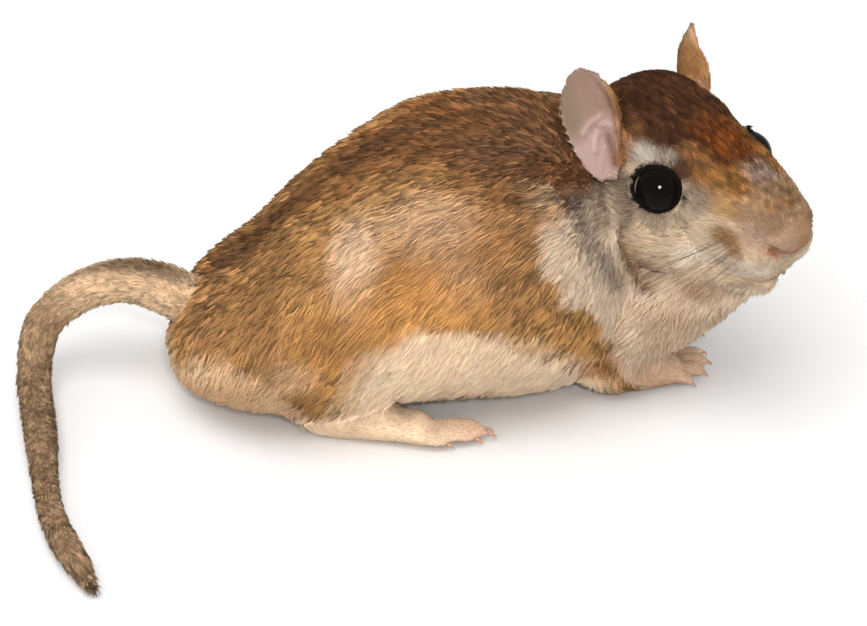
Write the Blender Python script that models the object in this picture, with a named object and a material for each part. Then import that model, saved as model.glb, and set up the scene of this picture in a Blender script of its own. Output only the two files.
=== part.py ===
# A tamarisk gerbil at life size, crouched, with its head turned to its right.
# The animal faces +X, its right side is towards -Y, and the floor is Z = 0.
# Design numbers are in millimetres, and each mesh is written in metres.
# The solids reach out to the tips of the coat.

import bmesh
import bpy
import numpy as np

MM = 0.001
GAP = 0.3                       # clear space between two solids that meet
SEAT_GAP = 0.5                  # the same where a limb is seated in the body
CENTRE = np.array([-4.68, -19.03, 0.0])   # middle of the whole animal, moved to the origin

# Trunk sections stand upright: x, y, z of the middle, half width, height above, depth below.
TRUNK = [
    (-45, -5, 9.5, 7, 5, 7),
    (-38, -5, 12.5, 15.4, 10.0, 11.2),
    (-30, -5, 14.8, 20.2, 13.2, 14.2),
    (-22, -4.2, 18.4, 22.9, 17.6, 18.2),
    (-13, -2.6, 21.9, 24.6, 21.0, 22.1),
    (-3, -1.2, 24.4, 25.4, 24.4, 24.7),
    (8, 0, 25, 25.3, 25.2, 25.3),
    (18, 0.4, 25.8, 24.4, 23.4, 26.1),
    (28, 0.2, 27, 18.8, 15.6, 25),
    (38, 0, 28, 10.8, 9.4, 14),
]

# The head has a frame of its own: x towards the nose, y to its left, z up, with the eyes on x = 0.
HEAD_AT = np.array([43.0, -5.0, 43.0])
HEAD_YAW = -50.0
HEAD_PITCH = -9.0
HEAD_ROLL = -2.0
# Head sections: x, height, half width, height above, depth below.
SKULL = [
    (-24, -3.2, 9.5, 8.6, 9),
    (-17, -2.9, 12, 10.8, 12),
    (-9, -2.6, 12.6, 11.3, 13),
    (0, -2.2, 11.6, 10.9, 12.6),
    (8, -1.8, 9.6, 9.9, 11.2),
    (15, -1.2, 7.6, 8.8, 9.8),
    (19.5, -0.5, 6.0, 6.9, 8.0),
    (22, -0.6, 4.2, 4.2, 5.0),
]
JAW = [
    (-10, -12.5, 10, 6, 6),
    (0, -12, 9, 5, 6),
    (9, -11, 7.2, 4, 5.4),
    (20.3, -10.8, 4.4, 3.2, 3.6),
]
CHEEK = ((-3, 7.4, -8.6), (12, 6.8, 8.6))
WHISKER_PAD = ((15.6, 3.4, -3.2), (5.7, 4.3, 5.5))
# The head is tilted a little, so its left eye (1) sits lower than the right one (-1).
EYE_PLACE = {-1: (0, -9.8, 0), 1: (0.6, 9.4, -1.0)}
EYE_RADIUS = 4.2
NOSE = ((20.5, 0, 0.2), (2.6, 3.6, 3.4))
# The right ear (-1) opens forwards and the left one (1) is turned outwards. Across is the way its
# width runs, widest the share of its length where it is widest, point how sharply its top closes.
EAR = {
    -1: {"base": (-7.1, -15.0, -1.7), "tip": (-18.7, -12.9, 12.6), "across": (-0.78, -0.60, -0.165),
         "widest": 0.6, "point": 0.55, "cup": 2.6},
    1: {"base": (-10.6, 10.4, -4.2), "tip": (-18.6, 12.7, 12.2), "across": (-0.99, 0.22, -0.1),
        "widest": 0.5, "point": 1.05, "cup": 1.8},
}
EAR_HALF_WIDTH = 5.3
EAR_THICKNESS = 1.1

# Neck and throat sections: x, y, z, half width, height above, depth below.
NECK = [
    (13, 3, 32, 20, 16.6, 20),
    (22, 4, 35, 16.8, 13.2, 19),
    (30, 4.5, 37.2, 13, 10.6, 18),
    (37, 3.5, 40.5, 11, 9.8, 14),
]
THROAT = [
    (24, 0, 15, 18, 13, 15),
    (34, -2, 17, 14.5, 11, 12),
    (41, -5.5, 21.5, 11, 9, 9.6),
    (46, -10, 27, 8.5, 8, 7.8),
    (51.5, -15.4, 30, 5.4, 5, 7.6),
]

# Limbs: each is given for the left side (+Y of the middle) and mirrored about its own middle line.
HAUNCH = ((-17, 12.1, 13.5), (15.5, 11, 13.5))
HIND_MIDDLE = -2.5
THIGH_CUT = ((-16, 16.0, 13.0), (16, 11.0, 14.0))
HIND_FOOT = [
    (-21.5, 15.8, 4.3, 2.5, 2.8, 4.6),
    (-15, 16.8, 3.9, 3.0, 2.9, 4.2),
    (-6, 17.8, 3.2, 3.6, 2.6, 3.5),
    (0, 18.2, 2.4, 4.2, 2.1, 2.7),
]
# Toes: start, middle and tip as x, y, z, then radius.
HIND_TOES = [
    [(-1, 16.9, 2.0), (3.0, 16.6, 2.2), (6.2, 15.9, 1.2), 1.1],
    [(-1, 17.1, 2.2), (5.0, 16.9, 2.4), (9.2, 17.1, 1.2), 1.3],
    [(-1, 18.3, 2.2), (5.2, 18.3, 2.4), (9.6, 18.5, 1.2), 1.3],
    [(-1, 19.4, 2.1), (3.8, 19.7, 2.2), (7.4, 20.0, 1.2), 1.25],
    [(-3, 20.6, 1.8), (0.2, 21.0, 1.9), (2.8, 21.3, 1.1), 1.15],
]
UPPER_ARM = ((29, 8.5, 8.2), (9, 6.6, 7.9))
ARM_CUT = ((28.6, 11.0, 8.4), (9.4, 7.4, 9.1))
FORE_MIDDLE = 1.5
FORE_LEG = [
    (29, 9.2, 7.4, 5, 4.6, 7.6),
    (33, 9.2, 6, 4.4, 4.2, 6.2),
    (37, 8.5, 4.2, 3.8, 3.0, 4.7),
    (40.5, 7.8, 3.0, 4.2, 2.3, 3.6),
]
FINGERS = [
    [(39, 5.2, 2.0), (43.0, 3.7, 1.9), (45.8, 2.6, 0.9), 1.15],
    [(39.5, 6.8, 2.1), (43.8, 6.0, 2.1), (46.4, 5.4, 0.9), 1.2],
    [(39.5, 8.4, 2.1), (43.4, 8.4, 2.1), (45.6, 8.6, 0.9), 1.2],
    [(39, 10.1, 2.0), (41.5, 10.7, 1.9), (43.4, 11.4, 0.9), 1.15],
]
FORE_SPLAY = -3.0               # both hands point a little to the animal's left

# Tail: x, y, z of the middle line, then the coat's radius.
TAIL = [
    (-37, -4.6, 13.8, 5.8),
    (-44, -3.4, 18.0, 4.5),
    (-51, -1.8, 18.6, 3.95),
    (-58.4, -1.1, 15.8, 3.7),
    (-64.8, -3.0, 10.4, 3.4),
    (-66.2, -8.6, 3.9, 3.15),
    (-65.2, -15, 2.9, 3.1),
    (-63.6, -24, 2.75, 3.0),
    (-62.2, -33, 2.3, 2.55),
    (-60, -43, 2.15, 2.4),
    (-56, -52.4, 2.25, 2.5),
    (-49.8, -63.6, 0.85, 1.1),
]
# The tail is parted at these fractions of its own table.
TAIL_PARTS = [
    ("tail_root", 0.0, 0.2),
    ("tail_arch", 0.2, 0.43),
    ("tail_floor", 0.43, 0.82),
    ("tail_tuft", 0.82, 1.0),
]
TAIL_GAP = 0.004                # how far along the table each part of the tail stays from the one before

# Where the flesh is parted, as boxes: low corner and high corner.
FAR = 200.0
HEAD_BOX = ((-13.2, -15.5, -17.2), (FAR, 17, FAR))
LOWER_JAW_BOX = ((3.0, -FAR, -FAR), (FAR, FAR, -10.4))
NECK_BOX = ((18, -FAR, 27), (FAR, FAR, FAR))
CHEST_BOX = ((9, -FAR, -FAR), (FAR, FAR, FAR))
RUMP_BOX = ((-FAR, -FAR, -FAR), (-27, FAR, FAR))

FLESH_NAMES = ("head", "neck", "chest", "trunk", "rump", "thigh", "upper_arm")
FLESH_VOXEL = 1.1
FLESH_RATIO = 0.085
FOOT_VOXEL = 0.5
FOOT_RATIO = 0.09
THIN_OUT = 0.5                 # share of the faces kept on a flesh piece once it is cut

BROWN = (0.36, 0.20, 0.09)
OCHRE = (0.52, 0.33, 0.16)
CREAM = (0.72, 0.58, 0.42)
PINK = (0.74, 0.52, 0.42)
BLACK = (0.01, 0.008, 0.008)


def unit(vector):
    vector = np.asarray(vector, float)
    return vector / np.linalg.norm(vector, axis=-1, keepdims=True)


def head_axes():
    """Rows: towards the nose, to the head's left, up."""
    yaw, pitch, roll = np.radians([HEAD_YAW, HEAD_PITCH, HEAD_ROLL])
    nose = np.array([np.cos(yaw) * np.cos(pitch), np.sin(yaw) * np.cos(pitch), np.sin(pitch)])
    level = np.array([-np.sin(yaw), np.cos(yaw), 0.0])
    left = level * np.cos(roll) + np.cross(nose, level) * np.sin(roll)
    return np.stack([nose, left, np.cross(nose, left)])


AXES = head_axes()


def in_head(point):
    return HEAD_AT + np.asarray(point, float) @ AXES


def spline(rows, t):
    """Catmull-Rom curve through evenly spaced rows, read at t from 0 to 1."""
    rows = np.asarray(rows, float)
    last = len(rows) - 1
    knots = np.vstack([2 * rows[0] - rows[1], rows, 2 * rows[-1] - rows[-2]])
    place = np.clip(t, 0, 1) * last
    i = np.minimum(place.astype(int), last - 1)
    f = (place - i)[:, None]
    a, b, c, d = knots[i], knots[i + 1], knots[i + 2], knots[i + 3]
    bend = 2 * a - 5 * b + 4 * c - d
    twist = 3 * b - a - 3 * c + d
    return 0.5 * (2 * b + (c - a) * f + bend * f**2 + twist * f**3)


def loft_rings(rows, rings, sides, up=(0, 0, 1), upright=False, dome=(0.1, 0.1), power=2.1,
               span=(0, 1), grow=0.0):
    """Rings of an oval section carried along the rows, closing to a dome at each end."""
    t = 0.5 - 0.5 * np.cos(np.pi * (np.arange(rings) + 0.5) / rings)
    u = span[0] + (span[1] - span[0]) * t
    line = spline(rows, u)
    ahead = unit(spline(rows, u + 0.002)[:, :3] - spline(rows, u - 0.002)[:, :3])
    if upright:
        ahead = np.zeros_like(ahead) + (1.0, 0.0, 0.0)
    side = unit(np.cross(np.asarray(up, float), ahead))
    above = np.cross(ahead, side)
    swell = np.ones(rings)
    for length, away in ((dome[0], t), (dome[1], 1 - t)):
        if length:
            swell *= np.sqrt(np.clip(1 - np.clip(1 - away / length, 0, 1) ** 2, 0, 1))
    angle = 2 * np.pi * np.arange(sides) / sides
    x = np.sign(np.cos(angle)) * np.abs(np.cos(angle)) ** (2 / power)
    y = np.sign(np.sin(angle)) * np.abs(np.sin(angle)) ** (2 / power)
    wide = line[:, 3:4] * swell[:, None] + grow
    high = np.where(y > 0, line[:, 4:5], line[:, 5:6]) * swell[:, None] + grow
    middle = line[:, :3] + ahead * (grow * (2 * t - 1))[:, None]
    return middle[:, None] + side[:, None] * (wide * x)[..., None] + above[:, None] * (high * y)[..., None]


def add_rings(bm, rings):
    """Skin a stack of rings and close both ends, with the faces pointing out."""
    loops = [[bm.verts.new(point * MM) for point in ring] for ring in rings]
    sides = len(loops[0])
    for low, high in zip(loops, loops[1:]):
        for k in range(sides):
            n = (k + 1) % sides
            bm.faces.new((low[k], low[n], high[n], high[k]))
    bm.faces.new(loops[0][::-1])
    bm.faces.new(loops[-1])


def add_ball(bm, centre, radii, axes=None, segments=24, rows=16):
    axes = np.eye(3) if axes is None else axes
    made = bmesh.ops.create_uvsphere(bm, u_segments=segments, v_segments=rows, radius=1.0)
    for vert in made["verts"]:
        vert.co = (np.asarray(centre, float) + (np.array(vert.co) * radii) @ axes) * MM


def add_box(bm, low, high, place=None):
    """A box between two corners, turned into the head's frame where place is 'head'."""
    made = bmesh.ops.create_cube(bm, size=1.0)
    low, high = np.asarray(low, float), np.asarray(high, float)
    for vert in made["verts"]:
        corner = (low + high) / 2 + np.array(vert.co) * (high - low)
        vert.co = (in_head(corner) if place == "head" else corner) * MM


def new_object(name, build, *args, **words):
    """A mesh object whose faces are made by build(bm, ...) and all point outwards."""
    bm = bmesh.new()
    build(bm, *args, **words)
    bmesh.ops.recalc_face_normals(bm, faces=bm.faces)
    mesh = bpy.data.meshes.new(name)
    bm.to_mesh(mesh)
    bm.free()
    shape = bpy.data.objects.new(name, mesh)
    bpy.context.scene.collection.objects.link(shape)
    return shape


def settle(shape):
    """Turn an object's modifiers into plain mesh."""
    bpy.context.view_layer.update()
    graph = bpy.context.evaluated_depsgraph_get()
    mesh = bpy.data.meshes.new_from_object(shape.evaluated_get(graph))
    old = shape.data
    shape.modifiers.clear()
    shape.data = mesh
    bpy.data.meshes.remove(old)
    return shape


def fuse(shape, voxel, ratio, rounds):
    """Melt the lofts and balls of one object into a single skin with few faces."""
    remesh = shape.modifiers.new("one_skin", "REMESH")
    remesh.mode = "VOXEL"
    remesh.voxel_size = voxel * MM
    soften = shape.modifiers.new("soften", "SMOOTH")
    soften.factor = 0.5
    soften.iterations = rounds
    fewer = shape.modifiers.new("fewer_faces", "DECIMATE")
    fewer.ratio = ratio
    return settle(shape)


def mend(shape):
    """Drop flaps that hang on by one edge, close small holes, and keep only the largest body."""
    bm = bmesh.new()
    bm.from_mesh(shape.data)
    crowded = {face for edge in bm.edges if len(edge.link_faces) > 2 for face in edge.link_faces}
    flaps = [face for face in crowded if any(edge.is_boundary for edge in face.edges)]
    bmesh.ops.delete(bm, geom=flaps, context="FACES")
    bmesh.ops.delete(bm, geom=[vert for vert in bm.verts if not vert.link_faces], context="VERTS")
    bmesh.ops.holes_fill(bm, edges=[edge for edge in bm.edges if edge.is_boundary], sides=0)
    left = set(bm.verts)
    bodies = []
    while left:
        reached = [left.pop()]
        for vert in reached:
            near = {edge.other_vert(vert) for edge in vert.link_edges} & left
            left -= near
            reached.extend(near)
        bodies.append(reached)
    bodies.sort(key=len)
    for body in bodies[:-1]:
        bmesh.ops.delete(bm, geom=body, context="VERTS")
    bm.to_mesh(shape.data)
    bm.free()


def cut(shape, tool, operation="DIFFERENCE"):
    boolean = shape.modifiers.new("cut", "BOOLEAN")
    boolean.operation = operation
    boolean.object = tool
    settle(shape)
    mend(shape)
    return shape


def discard(*tools):
    for tool in tools:
        mesh = tool.data
        bpy.data.objects.remove(tool)
        bpy.data.meshes.remove(mesh)


def thin_out(shape):
    """Thin out the faces of a cut piece."""
    fewer = shape.modifiers.new("fewer_faces", "DECIMATE")
    fewer.ratio = THIN_OUT
    settle(shape)
    mend(shape)


def part_off(shape, name, build, *args, gap=GAP, **words):
    """Part the region made by build out of a shape, leaving a thin gap, and return the new piece."""
    region = new_object("region", build, *args, grow=0.0, **words)
    wider = new_object("wider", build, *args, grow=gap, **words)
    piece = bpy.data.objects.new(name, shape.data.copy())
    bpy.context.scene.collection.objects.link(piece)
    cut(piece, region, "INTERSECT")
    cut(shape, wider)
    discard(region, wider)
    return piece


def box_region(bm, low, high, place=None, grow=0.0):
    add_box(bm, np.asarray(low, float) - grow, np.asarray(high, float) + grow, place)


def ball_region(bm, centre, radii, axes=None, segments=16, rows=10, grow=0.0):
    add_ball(bm, centre, np.asarray(radii, float) + grow, axes, segments, rows)


def mirrored(table, side, middle, splay=0.0):
    """The left limb's table carried to the side asked for, about the limb pair's middle line."""
    rows = []
    for row in table:
        lean = splay * (row[0] - table[0][0]) / (table[-1][0] - table[0][0])
        rows.append((row[0], middle + side * row[1] - lean) + tuple(row[2:]))
    return rows


def toe_rows(toe, side, middle, lean=0.0):
    start, bend, tip, radius = toe
    sizes = (radius * 0.95, radius * 1.05, radius * 0.8)
    rows = []
    for point, size in zip((start, bend, tip), sizes):
        rows.append((point[0], middle + side * point[1] - lean, point[2], size, size, size))
    return rows


def limb_shape(bm, table, side, middle, splay=0.0, rings=16, sides=16, dome=(0.16, 0.12), grow=0.0):
    rows = mirrored(table, side, middle, splay)
    add_rings(bm, loft_rings(rows, rings, sides, dome=dome, grow=grow))


def foot_shape(bm, table, toes, side, middle, splay=0.0):
    limb_shape(bm, table, side, middle, splay)
    for toe in toes:
        rings = loft_rings(toe_rows(toe, side, middle, splay), 9, 10, dome=(0.2, 0.3), power=2.0)
        add_rings(bm, rings)


def tail_shape(bm, start, end, dome, grow=0.0):
    rows = [row[:3] + (row[3],) * 3 for row in TAIL]
    rings = max(4, round(40 * (end - start)))
    add_rings(bm, loft_rings(rows, rings, 12, dome=dome, power=2.0, span=(start, end), grow=grow))


def ear_shape(bm, side, grow=0.0, rings=11, sides=16):
    """A cupped leaf: its half width swells to a round top, and its middle is sunk by the cup's depth."""
    ear = EAR[side]
    base, tip = np.array(ear["base"]), np.array(ear["tip"])
    along = unit(tip - base)
    across = np.array(ear["across"])
    across = unit(across - along * (across @ along))
    opening = unit(np.cross(along, across)) * -side
    t = 0.5 - 0.5 * np.cos(np.pi * (np.arange(rings) + 0.5) / rings)[:, None]
    widest = ear["widest"]
    lower = np.clip(1 - ((widest - t) / (widest + 0.06)) ** 2, 0, 1) ** 0.7
    upper = np.clip(1 - ((t - widest) / (1 - widest)) ** 2, 0, 1) ** ear["point"]
    half = EAR_HALF_WIDTH * np.where(t < widest, lower, upper) + grow
    angle = 2 * np.pi * np.arange(sides)[None] / sides
    x = half * np.cos(angle)
    sunk = ear["cup"] * np.clip(1 - (x / 6.2) ** 2, 0, 1) * np.sin(np.pi * t) ** 0.6
    y = (EAR_THICKNESS / 2 + grow) * np.sin(angle) - sunk
    z = t * np.linalg.norm(tip - base) + grow * (2 * t - 1)
    local = base + x[..., None] * across + y[..., None] * opening + z[..., None] * along
    add_rings(bm, in_head(local))


def flesh_shape(bm):
    """Everything that is melted into one skin before it is parted."""
    add_rings(bm, loft_rings(TRUNK, 44, 40, upright=True, dome=(0.06, 0.13)))
    for table, dome in ((SKULL, (0.2, 0.08)), (JAW, (0.3, 0.2))):
        rows = [tuple(in_head((x, 0, z))) + (half, above, below) for x, z, half, above, below in table]
        add_rings(bm, loft_rings(rows, 30, 30, up=AXES[2], dome=dome))
    add_rings(bm, loft_rings(NECK, 20, 32, dome=(0.3, 0.3)))
    add_rings(bm, loft_rings(THROAT, 20, 32, dome=(0.3, 0.2)))
    for side in (-1, 1):
        for centre, radii in (CHEEK, WHISKER_PAD):
            add_ball(bm, in_head((centre[0], side * centre[1], centre[2])), radii, AXES)
        add_ball(bm, (HAUNCH[0][0], HIND_MIDDLE + side * HAUNCH[0][1], HAUNCH[0][2]), HAUNCH[1])
        add_ball(bm, (UPPER_ARM[0][0], FORE_MIDDLE + side * UPPER_ARM[0][1], UPPER_ARM[0][2]), UPPER_ARM[1])


def pare_to_floor(shape):
    """Cut away what lies under the floor, which leaves a small flat."""
    below = new_object("below", add_box, (-FAR, -FAR, -FAR), (FAR, FAR, 0.0))
    cut(shape, below)
    discard(below)
    return shape


def finish(shape, colour, roughness=0.9):
    """Move a piece to the shared origin, and give it its own material and smooth shading."""
    for vert in shape.data.vertices:
        vert.co = [c - m * MM for c, m in zip(vert.co, CENTRE)]
        vert.co.z = max(vert.co.z, 0.0)
    material = bpy.data.materials.new(shape.name)
    material.use_nodes = True
    shader = material.node_tree.nodes["Principled BSDF"]
    shader.inputs["Base Color"].default_value = (*colour, 1.0)
    shader.inputs["Roughness"].default_value = roughness
    shader.inputs["Metallic"].default_value = 0.0
    shape.data.materials.clear()
    shape.data.materials.append(material)
    shape.data.shade_smooth()


def build_gerbil():
    flesh = fuse(new_object("flesh", flesh_shape), FLESH_VOXEL, FLESH_RATIO, 6)
    pare_to_floor(flesh)
    pieces = {}

    for side, name in ((-1, "right"), (1, "left")):
        limbs = (
            ("hind_foot_" + name, HIND_FOOT, HIND_TOES, HIND_MIDDLE, 0.0),
            ("fore_foot_" + name, FORE_LEG, FINGERS, FORE_MIDDLE, FORE_SPLAY),
        )
        for limb, table, toes, middle, splay in limbs:
            foot = new_object(limb, foot_shape, table, toes, side, middle, splay)
            fuse(foot, FOOT_VOXEL, FOOT_RATIO, 2)
            shape = {"rings": 10, "sides": 14, "dome": (0.16, 0.0), "grow": SEAT_GAP}
            seat = new_object("seat", limb_shape, table, side, middle, splay, **shape)
            cut(flesh, seat)
            discard(seat)
            pieces[limb] = (pare_to_floor(foot), PINK)
        ball = (in_head(EYE_PLACE[side]), [EYE_RADIUS] * 3, AXES)
        pieces["eye_" + name] = (new_object("eye_" + name, ball_region, *ball, segments=18, rows=11), BLACK)
        pieces["ear_" + name] = (new_object("ear_" + name, ear_shape, side), PINK)
        socket = new_object("socket", ball_region, *ball, grow=GAP + 0.1)
        seat = new_object("seat", ear_shape, side, rings=8, sides=12, grow=GAP + 0.15)
        cut(flesh, socket)
        cut(flesh, seat)
        discard(socket, seat)

    root = new_object("wider", tail_shape, 0.0, 0.4, (0.3, 0.0), grow=GAP)
    cut(flesh, root)
    discard(root)
    for name, start, end in TAIL_PARTS:
        dome = (0.5 if start == 0 else 0.0, 0.35 if end == 1 else 0.0)
        tail = new_object(name, tail_shape, start + (TAIL_GAP if start else 0.0), end, dome)
        pieces[name] = (pare_to_floor(tail), BROWN if end == 1 else OCHRE)

    head = part_off(flesh, "head", box_region, *HEAD_BOX, "head")
    for side, name in ((-1, "right"), (1, "left")):
        for limb, (centre, radii), middle in (
            ("thigh_" + name, THIGH_CUT, HIND_MIDDLE),
            ("upper_arm_" + name, ARM_CUT, FORE_MIDDLE),
        ):
            beside = (centre[0], middle + side * centre[1], centre[2])
            pieces[limb] = (part_off(flesh, limb, ball_region, beside, radii), OCHRE)
    pieces["neck"] = (part_off(flesh, "neck", box_region, *NECK_BOX), OCHRE)
    pieces["chest"] = (part_off(flesh, "chest", box_region, *CHEST_BOX), CREAM)
    pieces["rump"] = (part_off(flesh, "rump", box_region, *RUMP_BOX), OCHRE)
    pieces["nose"] = (part_off(head, "nose", ball_region, in_head(NOSE[0]), NOSE[1], AXES), PINK)
    pieces["lower_jaw"] = (part_off(head, "lower_jaw", box_region, *LOWER_JAW_BOX, "head"), CREAM)
    pieces["head"] = (head, BROWN)
    flesh.name = "trunk"
    pieces["trunk"] = (flesh, OCHRE)

    for name, (shape, colour) in pieces.items():
        shape.name = name
        if name.startswith(FLESH_NAMES):
            thin_out(shape)
        finish(shape, colour, 0.1 if name.startswith("eye") else 0.9)


for old in list(bpy.data.objects):
    bpy.data.objects.remove(old)
build_gerbil()
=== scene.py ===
# A still, life-size tamarisk gerbil: one skin under a coat of small mesh tufts, with eyes, claws and
# whiskers.
# Lengths are millimetres in the maker's layout; bodyMiddle moves them to the shared origin at the end.

import bmesh
import bpy
import numpy as np
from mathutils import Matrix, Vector
from mathutils.kdtree import KDTree


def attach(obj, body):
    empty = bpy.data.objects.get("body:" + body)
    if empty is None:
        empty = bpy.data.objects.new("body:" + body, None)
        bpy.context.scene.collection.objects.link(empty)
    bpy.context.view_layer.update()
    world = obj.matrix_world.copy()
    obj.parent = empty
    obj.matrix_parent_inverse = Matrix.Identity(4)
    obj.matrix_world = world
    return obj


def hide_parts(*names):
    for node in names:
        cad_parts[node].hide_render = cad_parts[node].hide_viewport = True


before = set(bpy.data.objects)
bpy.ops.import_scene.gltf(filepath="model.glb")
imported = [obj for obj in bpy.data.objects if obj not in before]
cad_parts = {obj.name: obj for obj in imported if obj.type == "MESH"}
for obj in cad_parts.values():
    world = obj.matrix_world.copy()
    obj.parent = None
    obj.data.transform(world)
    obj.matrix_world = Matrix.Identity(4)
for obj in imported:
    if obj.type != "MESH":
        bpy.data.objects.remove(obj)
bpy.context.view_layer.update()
print("frame loaded:", len(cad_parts), "nodes")

mm = 0.001
bodyMiddle = np.array([-4.68, -19.03, 0.0])
headAt = np.array([43.0, -5.0, 43.0])
headTurn = {"yaw": -50.0, "pitch": -9.0, "roll": -2.0}

# Body sections: x, y, z of the middle, half width, height above, depth below.
trunkRows = [
    (-45, -5, 9.5, 7, 5, 7), (-38, -5, 12.5, 15.4, 10, 11.2), (-30, -5, 14.8, 20.2, 13.2, 14.2),
    (-22, -4.2, 18.4, 22.9, 17.6, 18.2), (-13, -2.6, 21.9, 24.6, 21, 22.1),
    (-3, -1.2, 24.4, 25.4, 24.4, 24.7),
    (8, 0, 25, 25.3, 25.2, 25.3), (18, 0.4, 25.8, 24.4, 23.4, 26.1), (28, 0.2, 27, 18.8, 15.6, 25),
    (38, 0, 28, 10.8, 9.4, 14),
]
neckRows = [
    (13, 3, 32, 20, 16.6, 20), (22, 4, 35, 16.8, 13.2, 19), (30, 4.5, 37.2, 13, 10.6, 18),
    (37, 3.5, 40.5, 11, 9.8, 14),
]
throatRows = [
    (24, 0, 15, 18, 13, 15), (34, -2, 17, 14.5, 11, 12), (41, -5.5, 21.5, 11, 9, 9.6),
    (46, -10, 27, 8.5, 8, 7.8), (51.5, -15.4, 30, 5.4, 5, 7.6),
]
# Head sections in the head's own layout (x to the nose, y left, z up): x, height, half width, above, below.
skullRows = [
    (-24, -3.2, 9.5, 8.6, 9), (-17, -2.9, 12, 10.8, 12), (-9, -2.6, 12.6, 11.3, 13),
    (0, -2.2, 11.6, 10.9, 12.6),
    (8, -1.8, 9.6, 9.9, 11.2), (15, -1.2, 7.6, 8.8, 9.8), (19.5, -0.5, 6, 6.9, 8), (22, -0.6, 4.2, 4.2, 5),
]
jawRows = [(-10, -12.5, 10, 6, 6), (0, -12, 9, 5, 6), (9, -11, 7.2, 4, 5.4), (20.3, -10.8, 4.4, 3.2, 3.6)]
balls = {
    "cheek": {"at": (-3, 7.4, -8.6), "radii": (12, 6.8, 8.6), "inHead": True, "depth": 1.0},
    "pad": {"at": (15.6, 3.4, -3.2), "radii": (5.7, 4.3, 5.5), "inHead": True, "depth": 0.5},
    "haunch": {"at": (-17, 12.1, 13.5), "radii": (15.5, 11, 13.5), "middle": -2.5, "depth": 1.9},
    "arm": {"at": (29, 8.5, 8.2), "radii": (9, 6.6, 7.9), "middle": 1.5, "depth": 1.2},
}
noseBall = {"at": (19.8, 0, 0.7), "radii": (3.1, 3.9, 3.6), "depth": 0.05}
hindFoot = {
    "middle": -2.5, "splay": 0.0, "depth": 0.3,
    "rows": [
        (-21.5, 15.8, 4.3, 2.5, 2.8, 4.6), (-15, 16.8, 3.9, 3, 2.9, 4.2), (-6, 17.8, 3.2, 3.6, 2.6, 3.5),
        (0, 18.2, 2.4, 4.2, 2.1, 2.7),
    ],
    "toes": [
        [(-1, 16.9, 2), (3, 16.6, 2.2), (6.2, 15.9, 1.2), 1.1],
        [(-1, 17.1, 2.2), (5, 16.9, 2.4), (9.2, 17.1, 1.2), 1.3],
        [(-1, 18.3, 2.2), (5.2, 18.3, 2.4), (9.6, 18.5, 1.2), 1.3],
        [(-1, 19.4, 2.1), (3.8, 19.7, 2.2), (7.4, 20, 1.2), 1.25],
        [(-3, 20.6, 1.8), (0.2, 21, 1.9), (2.8, 21.3, 1.1), 1.15],
    ],
}
foreFoot = {
    "middle": 1.5, "splay": -3.0, "depth": 0.3,
    "rows": [
        (29, 9.2, 7.4, 5, 4.6, 7.6), (33, 9.2, 6, 4.4, 4.2, 6.2), (37, 8.5, 4.2, 3.8, 3, 4.7),
        (40.5, 7.8, 3, 4.2, 2.3, 3.6),
    ],
    "toes": [
        [(39, 5.2, 2), (43, 3.7, 1.9), (45.8, 2.6, 0.9), 1.15],
        [(39.5, 6.8, 2.1), (43.8, 6, 2.1), (46.4, 5.4, 0.9), 1.2],
        [(39.5, 8.4, 2.1), (43.4, 8.4, 2.1), (45.6, 8.6, 0.9), 1.2],
        [(39, 10.1, 2), (41.5, 10.7, 1.9), (43.4, 11.4, 0.9), 1.15],
    ],
}
# Tail: x, y, z of the middle line, then the radius out to the hair.
tailRows = [
    (-37, -4.6, 13.8, 5.8), (-44, -3.4, 18, 4.5), (-51, -1.8, 18.6, 3.95), (-58.4, -1.1, 15.8, 3.7),
    (-64.8, -3, 10.4, 3.4), (-66.2, -8.6, 3.9, 3.15), (-65.2, -15, 2.9, 3.1), (-63.6, -24, 2.75, 3),
    (-62.2, -33, 2.3, 2.55), (-60, -43, 2.15, 2.4), (-56, -52.4, 2.25, 2.5), (-49.8, -63.6, 0.85, 1.1),
]
ears = {
    -1: {"base": (-7.1, -15.0, -1.7), "tip": (-18.7, -12.9, 12.6), "across": (-0.78, -0.6, -0.165),
         "widest": 0.6, "point": 0.55, "cup": 2.6},
    1: {"base": (-10.6, 10.4, -4.2), "tip": (-18.6, 12.7, 12.2), "across": (-0.99, 0.22, -0.1),
        "widest": 0.5, "point": 1.05, "cup": 1.8},
}
earHalf, earThick, earLong = 5.2, 1.0, 18.5
# How deep the coat is where no form above says.
faceDepth, toeDepth, earDepth, tailDepth = 0.9, 0.12, 0.1, 0.95
# The eyes: openLong and openHigh are the lids' opening and lens the lens's edge, in degrees from the eye's
# axis; lidHigh is how far the lids stand above the ball, socket how far from its middle the skin lies behind
# the lids, and area how far round it the skin is shaped.
eye = {
    "at": {-1: (0, -9.8, 0), 1: (0.6, 9.4, -1.0)}, "radius": 4.12, "axis": (0.45, 0.7, 0.5),
    "openLong": 64.0, "openHigh": 58.0, "lens": 46.0, "socket": 3.3, "area": 8.5, "lidHigh": 0.12,
    "dark": (0.0035, 0.0025, 0.002), "ring": (14, 11, 9), "corner": (112, 92, 88),
}


def unit(v):
    v = np.asarray(v, float)
    return v / np.maximum(np.linalg.norm(v, axis=-1, keepdims=True), 1e-12)


# Rows: towards the nose, to the head's left, up, from the three turns.
def headAxes():
    yaw, pitch, roll = np.radians([headTurn["yaw"], headTurn["pitch"], headTurn["roll"]])
    nose = np.array([np.cos(yaw) * np.cos(pitch), np.sin(yaw) * np.cos(pitch), np.sin(pitch)])
    level = np.array([-np.sin(yaw), np.cos(yaw), 0.0])
    left = level * np.cos(roll) + np.cross(nose, level) * np.sin(roll)
    return np.stack([nose, left, np.cross(nose, left)])


axes = headAxes()


def inHead(p):
    return headAt + np.asarray(p, float) @ axes


def toHead(p):
    return (p - headAt) @ axes.T


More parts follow.
